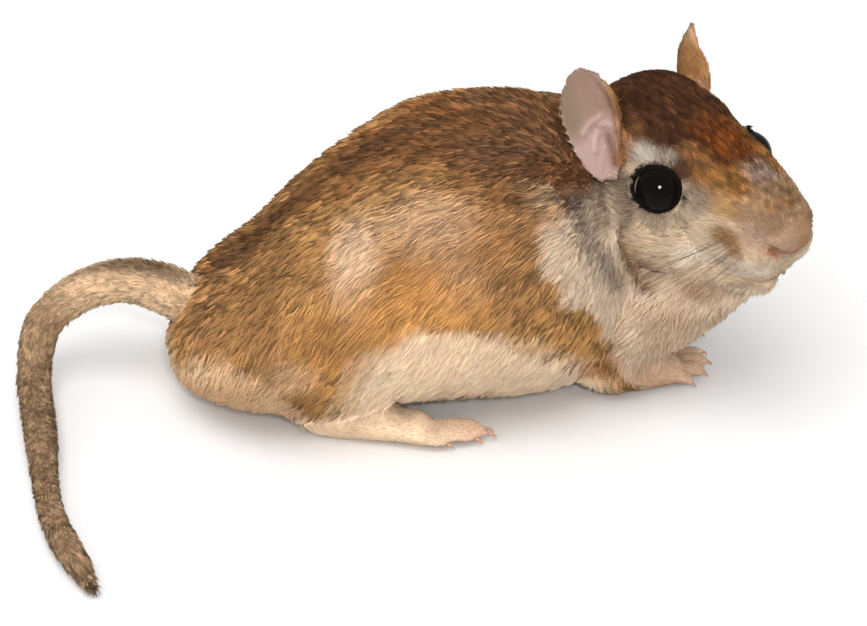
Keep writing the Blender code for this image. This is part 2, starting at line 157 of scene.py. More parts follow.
# Places in the head's layout, all brought to its left side.
def mirror(local):
    return local * (1, 0, 1) + np.abs(local) * (0, 1, 0)


def smooth(low, high, x):
    t = np.clip((x - low) / (high - low), 0, 1)
    return t * t * (3 - 2 * t)


# Catmull-Rom curve through evenly spaced rows, read at t from 0 to 1.
def spline(rows, t):
    rows = np.asarray(rows, float)
    last = len(rows) - 1
    knots = np.vstack([2 * rows[0] - rows[1], rows, 2 * rows[-1] - rows[-2]])
    place = np.clip(t, 0, 1) * last
    i = np.minimum(place.astype(int), last - 1)
    f = (place - i)[:, None]
    a, b, c, d = knots[i], knots[i + 1], knots[i + 2], knots[i + 3]
    bend = 2 * a - 5 * b + 4 * c - d
    twist = 3 * b - a - 3 * c + d
    return 0.5 * (2 * b + (c - a) * f + bend * f**2 + twist * f**3)


# Oval section carried along a curve: middle(t) + side * wide(t) * |cos|^(2/power) + above * high(t) *
# |sin|^(2/power), with both sizes shrunk by a quarter circle over each end's dome.
def loft(rows, rings, sides, up=(0, 0, 1), upright=False, dome=(0.1, 0.1), power=2.1, grow=0.0):
    t = 0.5 - 0.5 * np.cos(np.pi * (np.arange(rings) + 0.5) / rings)
    line = spline(rows, t)
    ahead = unit(spline(rows, t + 0.002)[:, :3] - spline(rows, t - 0.002)[:, :3])
    if upright:
        ahead = np.zeros_like(ahead) + (1.0, 0.0, 0.0)
    side = unit(np.cross(np.asarray(up, float), ahead))
    above = np.cross(ahead, side)
    swell = np.ones(rings)
    for length, away in ((dome[0], t), (dome[1], 1 - t)):
        swell *= np.sqrt(np.clip(1 - np.clip(1 - away / length, 0, 1) ** 2, 0, 1))
    angle = 2 * np.pi * np.arange(sides) / sides
    x = np.sign(np.cos(angle)) * np.abs(np.cos(angle)) ** (2 / power)
    y = np.sign(np.sin(angle)) * np.abs(np.sin(angle)) ** (2 / power)
    wide = np.maximum(line[:, 3:4] * swell[:, None] + grow, 0.02)
    high = np.maximum(np.where(y > 0, line[:, 4:5], line[:, 5:6]) * swell[:, None] + grow, 0.02)
    middle = line[:, :3] + ahead * (grow * (2 * t - 1))[:, None]
    points = middle[:, None] + side[:, None] * (wide * x)[..., None] + above[:, None] * (high * y)[..., None]
    return points, np.repeat(ahead[:, None], sides, 1)


# Oval ball on a grid: centre + radii * (cos u, sin u cos v, sin u sin v), in the head's axes where asked.
def ball(at, radii, inHeadAxes, rings=40, sides=48):
    u = np.pi * (np.arange(rings) + 0.5)[:, None] / rings
    v = 2 * np.pi * np.arange(sides)[None] / sides
    grid = np.stack([-np.cos(u) + 0 * v, np.sin(u) * np.cos(v), np.sin(u) * np.sin(v)], -1) * radii
    return at + (grid @ axes if inHeadAxes else grid)


# Half width of the ear and the depth of its hollow, at a share t of its length and x across it.
def earShape(side, t, x):
    leaf = ears[side]
    widest = leaf["widest"]
    lower = np.clip(1 - ((widest - t) / (widest + 0.025)) ** 2, 0, 1) ** 0.66
    upper = np.clip(1 - ((t - widest) / (1 - widest)) ** 2, 0, 1) ** leaf["point"]
    half = earHalf * np.where(t < widest, lower, upper)
    sunk = leaf["cup"] * np.clip(1 - (x / 6.2) ** 2, 0, 1) * np.sin(np.pi * np.clip(t, 0, 1)) ** 0.6
    return half, sunk


# The ear's own layout in the head's: its base, its length and three directions.
def earLayout(side):
    base, tip = np.array(ears[side]["base"]), np.array(ears[side]["tip"])
    along = unit(tip - base)
    across = np.array(ears[side]["across"])
    across = unit(across - along * (across @ along))
    opening = unit(np.cross(along, across)) * -side
    return base, np.linalg.norm(tip - base), np.stack([across, opening, along])


# Places in the layout of one ear, and its length.
def toEar(local, which):
    base, reach, turn = earLayout(which)
    return (local - base) @ turn.T, reach


# Cupped leaf: an oval section earThick through and as wide as earShape says, sunk in the middle, carried from
# the ear's base to its tip.
def earLeaf(side, rings=54, sides=72):
    base, length, turn = earLayout(side)
    t = 0.5 - 0.5 * np.cos(np.pi * (np.arange(rings) + 0.5) / rings)[:, None]
    angle = 2 * np.pi * np.arange(sides)[None] / sides
    x = np.maximum(earShape(side, t, 0)[0] - 0.1, 0.05) * np.cos(angle)
    y = earThick / 2 * np.sin(angle) - earShape(side, t, x)[1]
    return inHead(base + np.stack([x, y, t * length + 0 * x], -1) @ turn)


# Quads between neighbouring rings, and a fan to a pole at each end.
def closeGrid(points):
    rings, sides = points.shape[:2]
    flat = points.reshape(-1, 3)
    verts = np.vstack([flat, points[0].mean(0), points[-1].mean(0)])
    i, k = np.meshgrid(np.arange(rings - 1), np.arange(sides), indexing="ij")
    n = (k + 1) % sides
    here, after = i * sides, (i + 1) * sides
    quads = np.stack([here + k, here + n, after + n, after + k], -1).reshape(-1, 4)
    k = np.arange(sides)
    n = (k + 1) % sides
    top = (rings - 1) * sides
    first = np.stack([n, k, np.full(sides, rings * sides)], -1)
    last = np.stack([k + top, n + top, np.full(sides, rings * sides + 1)], -1)
    return verts, quads.tolist() + first.tolist() + last.tolist()


def joinGrids(grids):
    verts, faces, count = [], [], 0
    for grid in grids:
        v, f = closeGrid(grid)
        verts.append(v)
        faces += [[i + count for i in face] for face in f]
        count += len(v)
    return np.vstack(verts), faces


# Sculpted forms. Each one gives its grid, the way its hair lies, and how deep its coat is.
forms = []


def addForm(name, points, lie, depth):
    forms.append({"name": name, "points": points, "lie": np.broadcast_to(lie, points.shape), "depth": depth})


def mirrorRows(rows, side, middle, splay):
    out = []
    for row in rows:
        lean = splay * (row[0] - rows[0][0]) / (rows[-1][0] - rows[0][0])
        out.append((row[0], middle + side * row[1] - lean) + tuple(row[2:]))
    return out


def layOutForms():
    for name, rows, dome, upright, depth in (
        ("trunk", trunkRows, (0.06, 0.13), True, 2.0),
        ("neck", neckRows, (0.3, 0.3), False, 1.9),
        ("throat", throatRows, (0.3, 0.2), False, 2.0),
    ):
        points, ahead = loft(rows, 90, 96, dome=dome, upright=upright, grow=-depth)
        addForm(name, points, -ahead, depth)
    for name, rows, dome in (("skull", skullRows, (0.2, 0.08)), ("jaw", jawRows, (0.3, 0.2))):
        turned = [tuple(inHead((x, 0, z))) + (half, above, below) for x, z, half, above, below in rows]
        points, ahead = loft(turned, 70, 72, up=axes[2], dome=dome, grow=-faceDepth)
        addForm(name, points, -ahead, faceDepth)
    noseRadii = np.array(noseBall["radii"]) - noseBall["depth"]
    addForm("nose", ball(inHead(noseBall["at"]), noseRadii, True), -axes[0], noseBall["depth"])
    lies = {
        "cheek": np.array([-1, 0, -0.35]) @ axes, "pad": np.array([-1, 0, -0.12]) @ axes,
        "haunch": np.array([-0.7, 0, -0.95]), "arm": np.array([0.1, 0, -1.0]),
    }
    for side in (-1, 1):
        for name, shape in balls.items():
            x, y, z = shape["at"]
            inside = shape.get("inHead", False)
            at = inHead((x, side * y, z)) if inside else np.array([x, shape["middle"] + side * y, z])
            radii = np.array(shape["radii"]) - shape["depth"]
            addForm(name, ball(at, radii, inside), lies[name], shape["depth"])
        for name, foot in (("hindFoot", hindFoot), ("foreFoot", foreFoot)):
            rows = mirrorRows(foot["rows"], side, foot["middle"], foot["splay"])
            points, ahead = loft(rows, 30, 30, dome=(0.16, 0.12), grow=-foot["depth"])
            addForm(name, points, ahead, foot["depth"])
            for start, bend, tip, radius in foot["toes"]:
                rows = []
                for point, size in zip((start, bend, tip), (0.95, 1.05, 0.8)):
                    y = foot["middle"] + side * point[1] - foot["splay"]
                    rows.append((point[0], y, point[2]) + (radius * size,) * 3)
                points, ahead = loft(rows, 18, 14, dome=(0.2, 0.3), power=2.0, grow=-toeDepth)
                addForm("toe", points, ahead, toeDepth)
        addForm("ear", earLeaf(side), earLayout(side)[2][2] @ axes, earDepth)
    rows = [row[:3] + (row[3],) * 3 for row in tailRows]
    points, ahead = loft(rows, 150, 26, dome=(0.1, 0.06), power=2.0, grow=-tailDepth)
    addForm("tail", points, ahead, tailDepth)


layOutForms()
formNames = sorted({form["name"] for form in forms})
print("forms laid out:", len(forms))


def addObject(name, data):
    piece = bpy.data.objects.new(name, data)
    bpy.context.scene.collection.objects.link(piece)
    return piece


def newObject(name, verts, faces):
    mesh = bpy.data.meshes.new(name)
    mesh.from_pydata((verts - bodyMiddle) * mm, [], faces)
    mesh.shade_smooth()
    return addObject(name, mesh)


def finishPiece(piece, material):
    piece.data.materials.clear()
    piece.data.materials.append(material)
    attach(piece, "root")


def readArray(items, name, width, kind=np.float32):
    out = np.empty(len(items) * width, kind)
    items.foreach_get(name, out)
    return out.reshape(-1, width) if width > 1 else out


# All forms are melted into one skin by a voxel remesh, then softened.
def meltSkin(voxel=0.615, rounds=3):
    rough = newObject("rough", *joinGrids([form["points"] for form in forms]))
    remesh = rough.modifiers.new("oneSkin", "REMESH")
    remesh.mode = "VOXEL"
    remesh.voxel_size = voxel * mm
    soften = rough.modifiers.new("soften", "SMOOTH")
    soften.factor = 0.5
    soften.iterations = rounds
    graph = bpy.context.evaluated_depsgraph_get()
    mesh = bpy.data.meshes.new_from_object(rough.evaluated_get(graph))
    old = rough.data
    bpy.data.objects.remove(rough)
    bpy.data.meshes.remove(old)
    refine(mesh)
    return mesh


# Finer faces where small features are sculpted: the face, the ears and the toes.
def refine(mesh):
    points = readArray(mesh.vertices, "co", 3).astype(float) / mm + bodyMiddle
    x, y, z = points.T
    local = toHead(points)
    onHead = (local[:, 0] > -22) & (x > 18) & (z > 26)
    fine = onHead & ((local[:, 0] > 9) | (np.abs(local[:, 1]) > 6) & (local[:, 0] > -3) & (local[:, 2] > -9))
    for which in (-1, 1):
        way, reach = toEar(local, which)
        half, sunk = earShape(which, np.clip(way[:, 2] / reach, 0, 1), way[:, 0])
        onEar = (np.abs(way[:, 0]) < half + 1.5) & (np.abs(way[:, 1] + sunk) < 2.6) & (way[:, 2] > -1.5)
        fine |= onHead & onEar
    hindToes = (x > -3) & (x < 12) & (np.abs(y + 2.5) > 13)
    fine |= (z < 5.5) & ((x > 37) | hindToes)
    form = bmesh.new()
    form.from_mesh(mesh)
    form.verts.ensure_lookup_table()
    edges = [e for e in form.edges if fine[e.verts[0].index] and fine[e.verts[1].index]]
    bmesh.ops.subdivide_edges(form, edges=edges, cuts=1, use_grid_fill=True, smooth=0.0)
    bmesh.ops.triangulate(form, faces=[f for f in form.faces if len(f.verts) != 4])
    form.to_mesh(mesh)
    form.free()


skinMesh = meltSkin()
skinPoints = readArray(skinMesh.vertices, "co", 3).astype(float) / mm + bodyMiddle
skinEdges = readArray(skinMesh.edges, "vertices", 2, np.int32)
edgeCount = np.bincount(skinEdges.ravel(), minlength=len(skinPoints))
print("skin melted:", len(skinPoints), "points")


# Mean of each point's neighbours, taken rounds times.
def blur(values, rounds, keep=0.5):
    a, b = skinEdges[:, 0], skinEdges[:, 1]
    flat = values.reshape(len(values), -1).copy()
    for _ in range(rounds):
        near = np.empty_like(flat)
        for k in range(flat.shape[1]):
            near[:, k] = np.bincount(a, flat[b, k], len(flat)) + np.bincount(b, flat[a, k], len(flat))
        flat = keep * flat + (1 - keep) * near / edgeCount[:, None]
    return flat.reshape(values.shape)


def meshNormals():
    skinMesh.vertices.foreach_set("co", ((skinPoints - bodyMiddle) * mm).astype(np.float32).ravel())
    skinMesh.update()
    return readArray(skinMesh.vertex_normals, "vector", 3).astype(float)


def plantTree(places):
    tree = KDTree(len(places))
    for k, place in enumerate(places.tolist()):
        tree.insert(place, k)
    tree.balance()
    return tree


# Which form each skin point came from, by the nearest point of the forms' grids.
def nearestForm():
    places = np.vstack([form["points"].reshape(-1, 3) for form in forms])
    lies = np.vstack([form["lie"].reshape(-1, 3) for form in forms])
    labels = np.concatenate([np.full(form["points"][..., 0].size, k) for k, form in enumerate(forms)])
    tree = plantTree(places)
    found = np.array([tree.find(p)[1] for p in skinPoints.tolist()])
    return labels[found], lies[found]


label, lie = nearestForm()
depth = np.array([form["depth"] for form in forms])[label]
formOf = np.array([form["name"] for form in forms])[label]


# Distance from each point to a line of points.
def toLine(points, line):
    line = np.asarray(line, float)
    best = np.full(len(points), 1e9)
    for a, b in zip(line, line[1:]):
        t = np.clip((points - a) @ (b - a) / ((b - a) @ (b - a)), 0, 1)
        best = np.minimum(best, np.linalg.norm(points - a - t[:, None] * (b - a), axis=1))
    return best


# How near each point is to a line: exp(-(distance / size)^2).
def nearLine(points, line, size):
    return np.exp(-(toLine(points, line) / size) ** 2)


# The eye's axis, and across it the way towards the nose and the way up.
def eyeAxes(which):
    axis = unit(np.array(eye["axis"]) * (1, which, 1))
    nose = np.array([1.0, 0, 0.1])
    forward = unit(nose - axis * (nose @ axis))
    return axis, forward, np.cross(forward, axis) * which


# The lids' opening at each turn about the axis: an oval of openLong by openHigh, in degrees.
def lidOpening(turn):
    return 1 / np.sqrt((np.cos(turn) / eye["openLong"]) ** 2 + (np.sin(turn) / eye["openHigh"]) ** 2)


# Angle of each point from the eye's axis as a share of the lids' opening, its distance and way from the eye,
# and the eye's centre.
def eyeShare(local, which):
    centre = np.array(eye["at"][which])
    axis, forward, upward = eyeAxes(which)
    away = local - centre
    reach = np.linalg.norm(away, axis=1)
    way = away / reach[:, None]
    angle = np.degrees(np.arccos(np.clip(way @ axis, -1, 1)))
    turn = np.arctan2(way @ upward, way @ forward)
    return angle / lidOpening(turn), reach, way, centre


# Folds and hollows, as (line in the head's layout, width, depth); each is mirrored to the far side.
grooves = {
    "mouth": (
        [(20.3, 0, -7.6), (19.9, 1.3, -8.6), (19, 2.7, -9.8), (17.2, 4.2, -10.9), (15, 5.2, -12)], 0.45, 0.7,
    ),
    "lipSplit": ([(22.6, 0, -3), (21.6, 0, -5.6), (20.3, 0, -7.6)], 0.45, 0.4),
    "nostril": (
        [(20.2, 4.3, -0.5), (20.8, 3.3, -1.2), (21.5, 2.3, -1.4), (22.2, 1.2, -1.3), (22.5, 0.5, -1)], 0.5,
        0.9,
    ),
    "noseRim": (
        [(18, 4.8, 3.6), (18.2, 4.2, 5), (18.6, 2.8, 5.7), (19.4, 1.4, 6), (20.4, 0, 5.6)], 0.5, 0.35,
    ),
    "noseFold": ([(15, 1.2, 6.3), (16.4, 1.5, 6), (17.8, 1.5, 5.6)], 0.5, 0.5),
    "cheekFold": (
        [(-2.6, 13.4, -8.4), (-2.2, 14.4, -10.6), (-1.5, 14.5, -12.2), (-0.8, 13.8, -14.8), (-0.6, 11.4, -18),
         (2, 10.2, -19.9)], 1.1, 0.7,
    ),
}
# Ridges and hollows inside the ear, as (line of mm across and share of length, width, height).
earRelief = [
    ([(1.8, 0.44), (0.8, 0.5), (-0.1, 0.53), (-1.4, 0.56)], 0.55, 0.5),
    ([(-1.1, 0.48), (-2, 0.49), (-2.8, 0.46)], 0.45, 0.4),
    ([(-0.5, 0.42), (0.2, 0.36), (0.5, 0.28)], 0.45, 0.6),
    ([(-1, 0.4), (-0.6, 0.25), (0.1, 0.14), (0.1, 0.04)], 0.8, -0.8),
    ([(-1.9, 0.36), (-2.1, 0.25), (-2.3, 0.14)], 0.6, -0.6),
    ([(-1.8, 0.89), (-2.6, 0.78), (-3.3, 0.65), (-3.5, 0.5), (-3.1, 0.38)], 0.5, -0.35),
    ([(-2.6, 0.88), (-3.6, 0.75), (-4.4, 0.6), (-4.5, 0.45), (-4, 0.3), (-3, 0.12)], 0.6, 0.5),
]
# Strokes of colour inside the ear: line, tone, width, strength.
earStrokes = [
    # The first three strokes make the ear's ridges pale; the third, strongest one is also a painted
    # highlight.
    (earRelief[0][0], "earRidgeAndHighlight", 0.5, 0.6),
    (earRelief[1][0], "earRidgeAndHighlight", 0.45, 0.6),
    (earRelief[2][0], "earRidgeAndHighlight", 0.5, 0.9),
    (earRelief[4][0], "earPocket", 0.75, 0.75),
    ([(-3.4, 0.9), (-4.3, 0.75), (-4.8, 0.62)], "throat", 0.6, 0.35),
    ([(-4.5, 0.78), (-4.9, 0.6), (-4.8, 0.45), (-4.3, 0.3), (-3.4, 0.14)], "earFront", 1.4, 1.0),
    ([(4.2, 0.9), (5, 0.7), (4.8, 0.5), (3.6, 0.3)], "throat", 0.45, 0.5),
]


# The head in front of an ear is pressed back to the ear's hollow face, and the hollow gets its relief.
def openEars(local):
    for which in (-1, 1):
        base, reach, turn = earLayout(which)
        way = (local - base) @ turn.T
        x, t = way[:, 0], way[:, 2] / reach
        half, sunk = earShape(which, np.clip(t, 0, 1), x)
        floor = earThick / 2 - sunk
        inside = (t > 0.03) & (t < 1) & (np.abs(x) < half - 0.35)
        inside &= (way[:, 1] > floor - 0.45) & (way[:, 1] < floor + 5)
        flat = np.stack([x, t * reach], 1)
        for line, width, high in earRelief:
            gap = toLine(flat, [(a, share * reach) for a, share in line])
            floor = floor + 0.75 * high * np.exp(-(gap / width / 1.3) ** 2) * (which < 0 or high < 0)
        share = smooth(0.35, 1.1, half - np.abs(x)) * smooth(0.03, 0.1, t)
        way[inside, 1] += ((floor - way[:, 1]) * share)[inside]
        local[inside] = base + way[inside] @ turn
    return local


# Eyelids, ears and folds worked into the melted skin; the crease behind each cheek is blurred away first.
def sculptSkin():
    global skinPoints
    normals = meshNormals()
    local = toHead(skinPoints)
    for which in (-1, 1):
        share, reach, way, centre = eyeShare(local, which)
        near, lid, socket = reach < eye["area"], eye["radius"] + eye["lidHigh"], eye["socket"]
        inner = socket + (lid - socket) * smooth(0.9, 1.03, share)
        wanted = np.where(share < 1.03, inner, lid + (reach - lid) * smooth(1.15, 1.75, share))
        wanted = np.where(share > 1.75, reach, wanted)
        local[near] = (centre + way * wanted[:, None])[near]
    local = openEars(local)
    mirrored = mirror(local)
    behindCheek = smooth(6, 2, local[:, 0]) * smooth(-18, -10, local[:, 0])
    behindCheek = behindCheek * smooth(-1, -4, local[:, 2]) * (np.abs(local[:, 1]) > 8)
    local = local + (blur(local, 40) - local) * behindCheek[:, None]
    sink = np.zeros(len(local))
    onHead = np.isin(formOf, ("skull", "jaw", "cheek", "pad", "nose", "throat", "neck", "trunk"))
    for line, width, deep in grooves.values():
        sink = np.maximum(sink, deep * nearLine(mirrored, line, width))
    skinPoints = inHead(local) - normals * (sink * onHead)[:, None]
    skinPoints[:, 2] = np.maximum(skinPoints[:, 2], 0.02)


sculptSkin()
skinNormals = meshNormals()
print("skin sculpted")

# sRGB 0-255 to linear.
def tone(r, g, b):
    c = np.array([r, g, b]) / 255.0
    return np.where(c < 0.04045, c / 12.92, ((c + 0.055) / 1.055) ** 2.4)


# Tones as they look in soft light, in sRGB; furGain and skinGain turn them into the colours of the hair and
# the skin.
furTones = {
    "backDark": (92, 64, 42), "backMid": (130, 87, 51), "rump": (146, 106, 66), "flank": (175, 130, 80),
    "flankSheen": (206, 174, 143), "flankPale": (206, 175, 144), "flankOrange": (214, 158, 92),
    "frontFlank": (168, 126, 82), "shoulder": (118, 84, 57), "shoulderBuff": (184, 158, 128),
    "lowShoulder": (196, 146, 88), "belly": (226, 199, 168), "rumpCream": (198, 162, 124),
    "throat": (212, 188, 162), "throatLow": (184, 158, 133), "grey": (122, 108, 95),
    "heel": (112, 80, 54), "crown": (72, 44, 27), "forehead": (112, 60, 20), "temple": (134, 93, 56),
    "snoutSide": (144, 100, 53), "snoutBuff": (175, 141, 98), "snoutTop": (154, 124, 92),
    "snoutGrey": (142, 122, 111), "cream": (189, 177, 161), "greyBuff": (132, 115, 98),
    "greyDark": (122, 105, 88), "eyeGrey": (140, 124, 108), "cheek": (200, 177, 149),
    "cheekPale": (198, 175, 148), "cheekWhite": (236, 219, 196), "jawTan": (142, 111, 78),
    "chin": (208, 188, 164), "muzzle": (200, 184, 164), "padGold": (136, 100, 63),
    "snoutPink": (170, 142, 112), "noseEdge": (156, 114, 80), "cheekOrange": (146, 108, 68),
    "cheekFoldShade": (98, 78, 62), "nosePink": (176, 145, 126), "noseTan": (156, 128, 101),
    "noseBulb": (158, 128, 105), "nostril": (150, 82, 52), "nostrilShade": (96, 44, 30),
    "creaseShade": (112, 86, 66), "tailTop": (104, 82, 60), "tailSide": (168, 138, 105),
    "tailArch": (218, 186, 150), "tailDark": (143, 114, 88), "tuft": (108, 86, 69),
    "foot": (232, 203, 171), "toe": (230, 190, 160), "paw": (184, 152, 126), "earBack": (162, 117, 74),
    "earFront": (136, 94, 56), "earInner": (156, 127, 111), "earConch": (188, 156, 147),
    "earGrey": (138, 115, 96), "earPocket": (120, 86, 82), "earRidgeAndHighlight": (206, 176, 168),
    "tick": (56, 38, 27), "armBrown": (162, 106, 54), "lid": (26, 20, 17),
}
furTones = {name: tone(*rgb) for name, rgb in furTones.items()}
furGain, skinGain = 1.35, 0.82

# Soft patches of the head: tone, centre in the head's layout (mirrored), radii, strength.
headPatches = [
    ("forehead", (4, 0, 9), (7, 6.4, 4), 0.9),
    ("snoutSide", (8, 6.5, 5.5), (4.5, 3.5, 3), 0.95),
    ("snoutSide", (11, 3.2, 7), (3.4, 2.8, 2.2), 0.8),
    ("temple", (-9, 10.5, 6), (3, 3, 3), 0.8),
    ("temple", (1.8, 6, 6.8), (2.8, 2.4, 1.8), 0.7),
    ("greyBuff", (-5.5, 14, -3), (3.6, 4, 3.6), 0.95),
    ("greyDark", (-6.4, 13.4, -1), (2.2, 3, 2.4), 0.55),
    ("temple", (-8.4, 11.6, 1.4), (1.4, 2, 2), 0.7),
    ("cream", (-4.4, 10, 4.0), (3.0, 2.6, 1.7), 0.95),
    ("cream", (-1, 8.6, 5.5), (2.4, 1.8, 1.1), 0.6),
    ("greyDark", (-2, 14.4, -6), (1.6, 3, 1.8), 0.8),
    ("snoutBuff", (10.8, 7.6, 3.4), (3, 2.5, 2.2), 0.85),
    ("eyeGrey", (6.8, 8.8, 2.0), (2.8, 2.6, 3.0), 0.9),
    ("greyBuff", (1.5, 12.6, -4.4), (4.4, 3, 1.5), 0.7),
    ("eyeGrey", (5.4, 10.8, -2.8), (2.6, 2.6, 1.6), 0.6),
    ("cheekPale", (7.2, 10, -6.4), (4, 3.6, 3), 0.85),
    ("cheekWhite", (8.6, 8.4, -8.8), (3.6, 3, 2.8), 0.95),
    ("snoutPink", (14.8, 5.3, 4.6), (2.6, 2.4, 2), 0.85),
    ("nosePink", (17.6, 6.2, 1.2), (3, 2.6, 2.8), 0.95),
    ("padGold", (13.4, 8, -1.3), (2.9, 3, 2), 0.92),
    ("noseTan", (18.2, 3.9, 3.5), (2.4, 2.4, 2), 0.85),
    ("padGold", (15.6, 7.4, -2.9), (2.1, 2.6, 1.6), 0.85),
    ("muzzle", (18.4, 5.6, -5.2), (4.2, 3.6, 2.1), 0.95),
    ("muzzle", (14.6, 6.2, -8), (3.2, 3, 2.2), 0.8),
    ("chin", (15, 4, -12.6), (6, 5, 1.8), 0.6),
    ("jawTan", (10.2, 6.8, -15.2), (5, 4, 2.2), 0.95),
    ("cheekOrange", (2.8, 12.4, -14.6), (2.2, 3.4, 2), 0.6),
    ("snoutGrey", (11.4, 1, 7.6), (3.2, 2, 1.7), 0.75),
    ("snoutGrey", (13.6, 3, 6.9), (1.6, 1.6, 1.4), 0.35),
    ("snoutTop", (15.6, 1.5, 6.8), (2.6, 3, 1.8), 0.8),
    ("noseTan", (20.5, 1.5, 4.8), (2.8, 3, 1.6), 0.8),
    ("noseBulb", (22, 2.4, 1.4), (2.6, 3, 2.8), 0.9),
    ("noseEdge", (23, 0, 0.6), (1.8, 1.5, 3), 0.75),
]

# Soft patches where the head meets the neck and throat, in the head's layout.
seamPatches = [
    ("greyBuff", (-6, 14.6, -3.4), (3.2, 4, 3), 0.85),
    ("greyBuff", (-3.6, 16, -5.4), (3, 4, 3.4), 0.85),
    ("jawTan", (9.8, 6, -16), (4.5, 3.4, 2.2), 0.7),
]

# Soft patches of the body: tone, centre (the side nearer the camera, and mirrored), radii, strength.
shoulderTop = [("shoulder", (9.5, -9.5, 48), (7, 5, 4), 0.8), ("shoulder", (16, -5, 48), (8, 6, 5), 0.7)]
flankPatches = [
    ("rump", (-30, -14, 26), (13, 14, 12), 0.9),
    ("flankPale", (-12.6, -21, 35), (4.4, 8, 9), 0.9),
    # The next two patches are a painted highlight: the gloss of light on the flank's fur.
    ("flankSheen", (-1, -19, 41.5), (9, 6, 5.5), 0.6),
    ("flankSheen", (5, -24, 33), (6, 6, 4.5), 0.4),
    ("flankOrange", (-2, -26, 29), (13, 7, 6.5), 0.62),
    ("frontFlank", (11.5, -22, 36), (5.5, 7, 9), 0.7),
    *shoulderTop,
    ("shoulder", (11, -17.5, 41.5), (3.6, 4, 3), 0.2),
    ("shoulderBuff", (18, -15, 44.5), (6, 5, 3.4), 0.75),
    ("lowShoulder", (21, -22, 19), (9, 7, 6), 0.8),
    ("flankOrange", (-17, -27, 17), (5, 5, 5), 0.5),
]
# Patches over the spine's dark stripe, then those over the cream.
rumpPatches = [
    ("heel", (-25.7, -26.1, 18.1), (2.4, 3, 1.7), 0.35),
    ("lowShoulder", (-21, -23.5, 26), (5, 5, 5), 0.6),
    ("flankPale", (-22.6, -26, 16.2), (4.4, 5, 3.6), 0.5),
    ("heel", (-21.5, -24.5, 9), (4, 5, 3.6), 0.35),
    ("heel", (-37, -14.5, 18.4), (3.4, 4.5, 2.4), 0.6),
    ("backMid", (-17, -6.8, 38), (7, 3.5, 4), 0.5),
    ("backDark", (-41, -10, 24), (2, 4, 4), 0.3),
]
limbPatches = [
    ("armBrown", (27.6, -14.4, 8.6), (3.6, 4.5, 3.2), 0.75), ("heel", (39.5, -6, 6.6), (2.6, 3, 1.8), 0.6),
]

# Lines of colour: the dark rim over the tail's root and the grey band behind the cheek, on the near side and
# mirrored, and the orange line in front of the cheek's fold, in the head's layout.
rumpLine = [(-27, -4, 31), (-33.5, -4, 25.3), (-36.5, -9, 23), (-38.6, -13.2, 20.7)]
greyLine = [(22.1, -12.7, 40.7), (23, -14.8, 38.2), (24.7, -16, 35), (26.9, -15.9, 31.6), (28.9, -14.5, 27.5)]
cheekLine = [(-0.9, 13.6, -11.6), (-0.4, 12.2, -15), (0.2, 10.6, -18), (2.6, 9.9, -19.2)]

# The lower edge of the brown flank: x along the body, z of the edge.
bellyEdge = {
    "x": [-50, -43, -37, -31, -26, -22, -18, -15, -11.6, -5.7, 1.8, 8.4, 13.4, 18.6, 22.1, 25, 27.5, 31, 42],
    "z": [8, 9.6, 13.2, 14, 12, 3, 2, 8, 20.5, 24.3, 24.9, 24.7, 22.2, 18, 14.8, 11.5, 6, 1, 0],
}
# The brown shoulder's front edge against the cream throat: z, x of the edge.
throatEdge = {
    "z": [0, 3, 6.2, 8.8, 14, 20.4, 24, 28.4, 32.7, 36.9, 40.4, 44],
    "x": [36, 34, 31, 30, 28.6, 26.7, 24.4, 20.9, 18.3, 16.5, 16.2, 18],
}


# Sum of sine waves in seeded directions, about one in size; size is the wave's length in mm.
def ripple(points, size, seed, count=20):
    waves = np.random.default_rng(seed)
    ways = waves.normal(size=(count, 3)) * 2 * np.pi / size / 1.7
    return np.sin(points @ ways.T + waves.uniform(0, 6.28, count)).sum(1) / np.sqrt(count / 2)


def plain(name, points):
    return np.tile(furTones[name], (len(points), 1))


def mix(base, name, amount):
    return base + (furTones[name] - base) * np.clip(amount, 0, 1)[:, None]


# Each patch fades out from its centre by amount * exp(-d^4), d being the distance in radii.
def addPatches(colour, places, patches):
    for name, centre, radii, amount in patches:
        gap = (((places - centre) / radii) ** 2).sum(1)
        colour = mix(colour, name, amount * np.exp(-gap * gap))
    return colour


# Weights of the parts at each skin point, softened where parts meet.
def partWeights():
    groups = {
        "head": ("skull", "jaw", "cheek", "pad", "nose"), "tail": ("tail",), "hind": ("hindFoot", "toe"),
        "fore": ("foreFoot", "arm"), "ear": ("ear",), "throat": ("throat",), "neck": ("neck",),
        "nose": ("nose",),
    }
    weights = {}
    for name, members in groups.items():
        rounds = 3 if name in ("ear", "nose") else 6 if name == "head" else 12
        weights[name] = blur(np.isin(formOf, members).astype(float), rounds)
    toeFront = (formOf == "toe") & (skinPoints[:, 0] > 25)
    weights["fore"] = np.maximum(weights["fore"], blur(toeFront.astype(float), 6))
    return weights


weights = partWeights()
tailLine = spline([row[:3] for row in tailRows], np.linspace(0, 1, 400))


# How far along the tail each point is, from 0 to 1.
def tailShare(points):
    out = np.empty(len(points))
    for k in range(0, len(points), 4000):
        gap = points[k:k + 4000, None] - tailLine[None, ::4]
        out[k:k + 4000] = np.argmin((gap**2).sum(-1), 1) / (len(tailLine[::4]) - 1)
    return out


# Where points are on their side's ear: 1 on the hollow face and 0 on the back, mm across, and the share of
# its length.
def earPlace(points, normals, local):
    inner, across, up = np.zeros(len(points)), np.zeros(len(points)), np.zeros(len(points))
    for which in (-1, 1):
        base, reach, turn = earLayout(which)
        on = np.sign(local[:, 1]) == which
        way = (local[on] - base) @ turn.T
        inner[on] = smooth(-0.15, 0.35, normals[on] @ axes.T @ turn[1])
        across[on], up[on] = way[:, 0], way[:, 2] / reach
    return inner, across, up


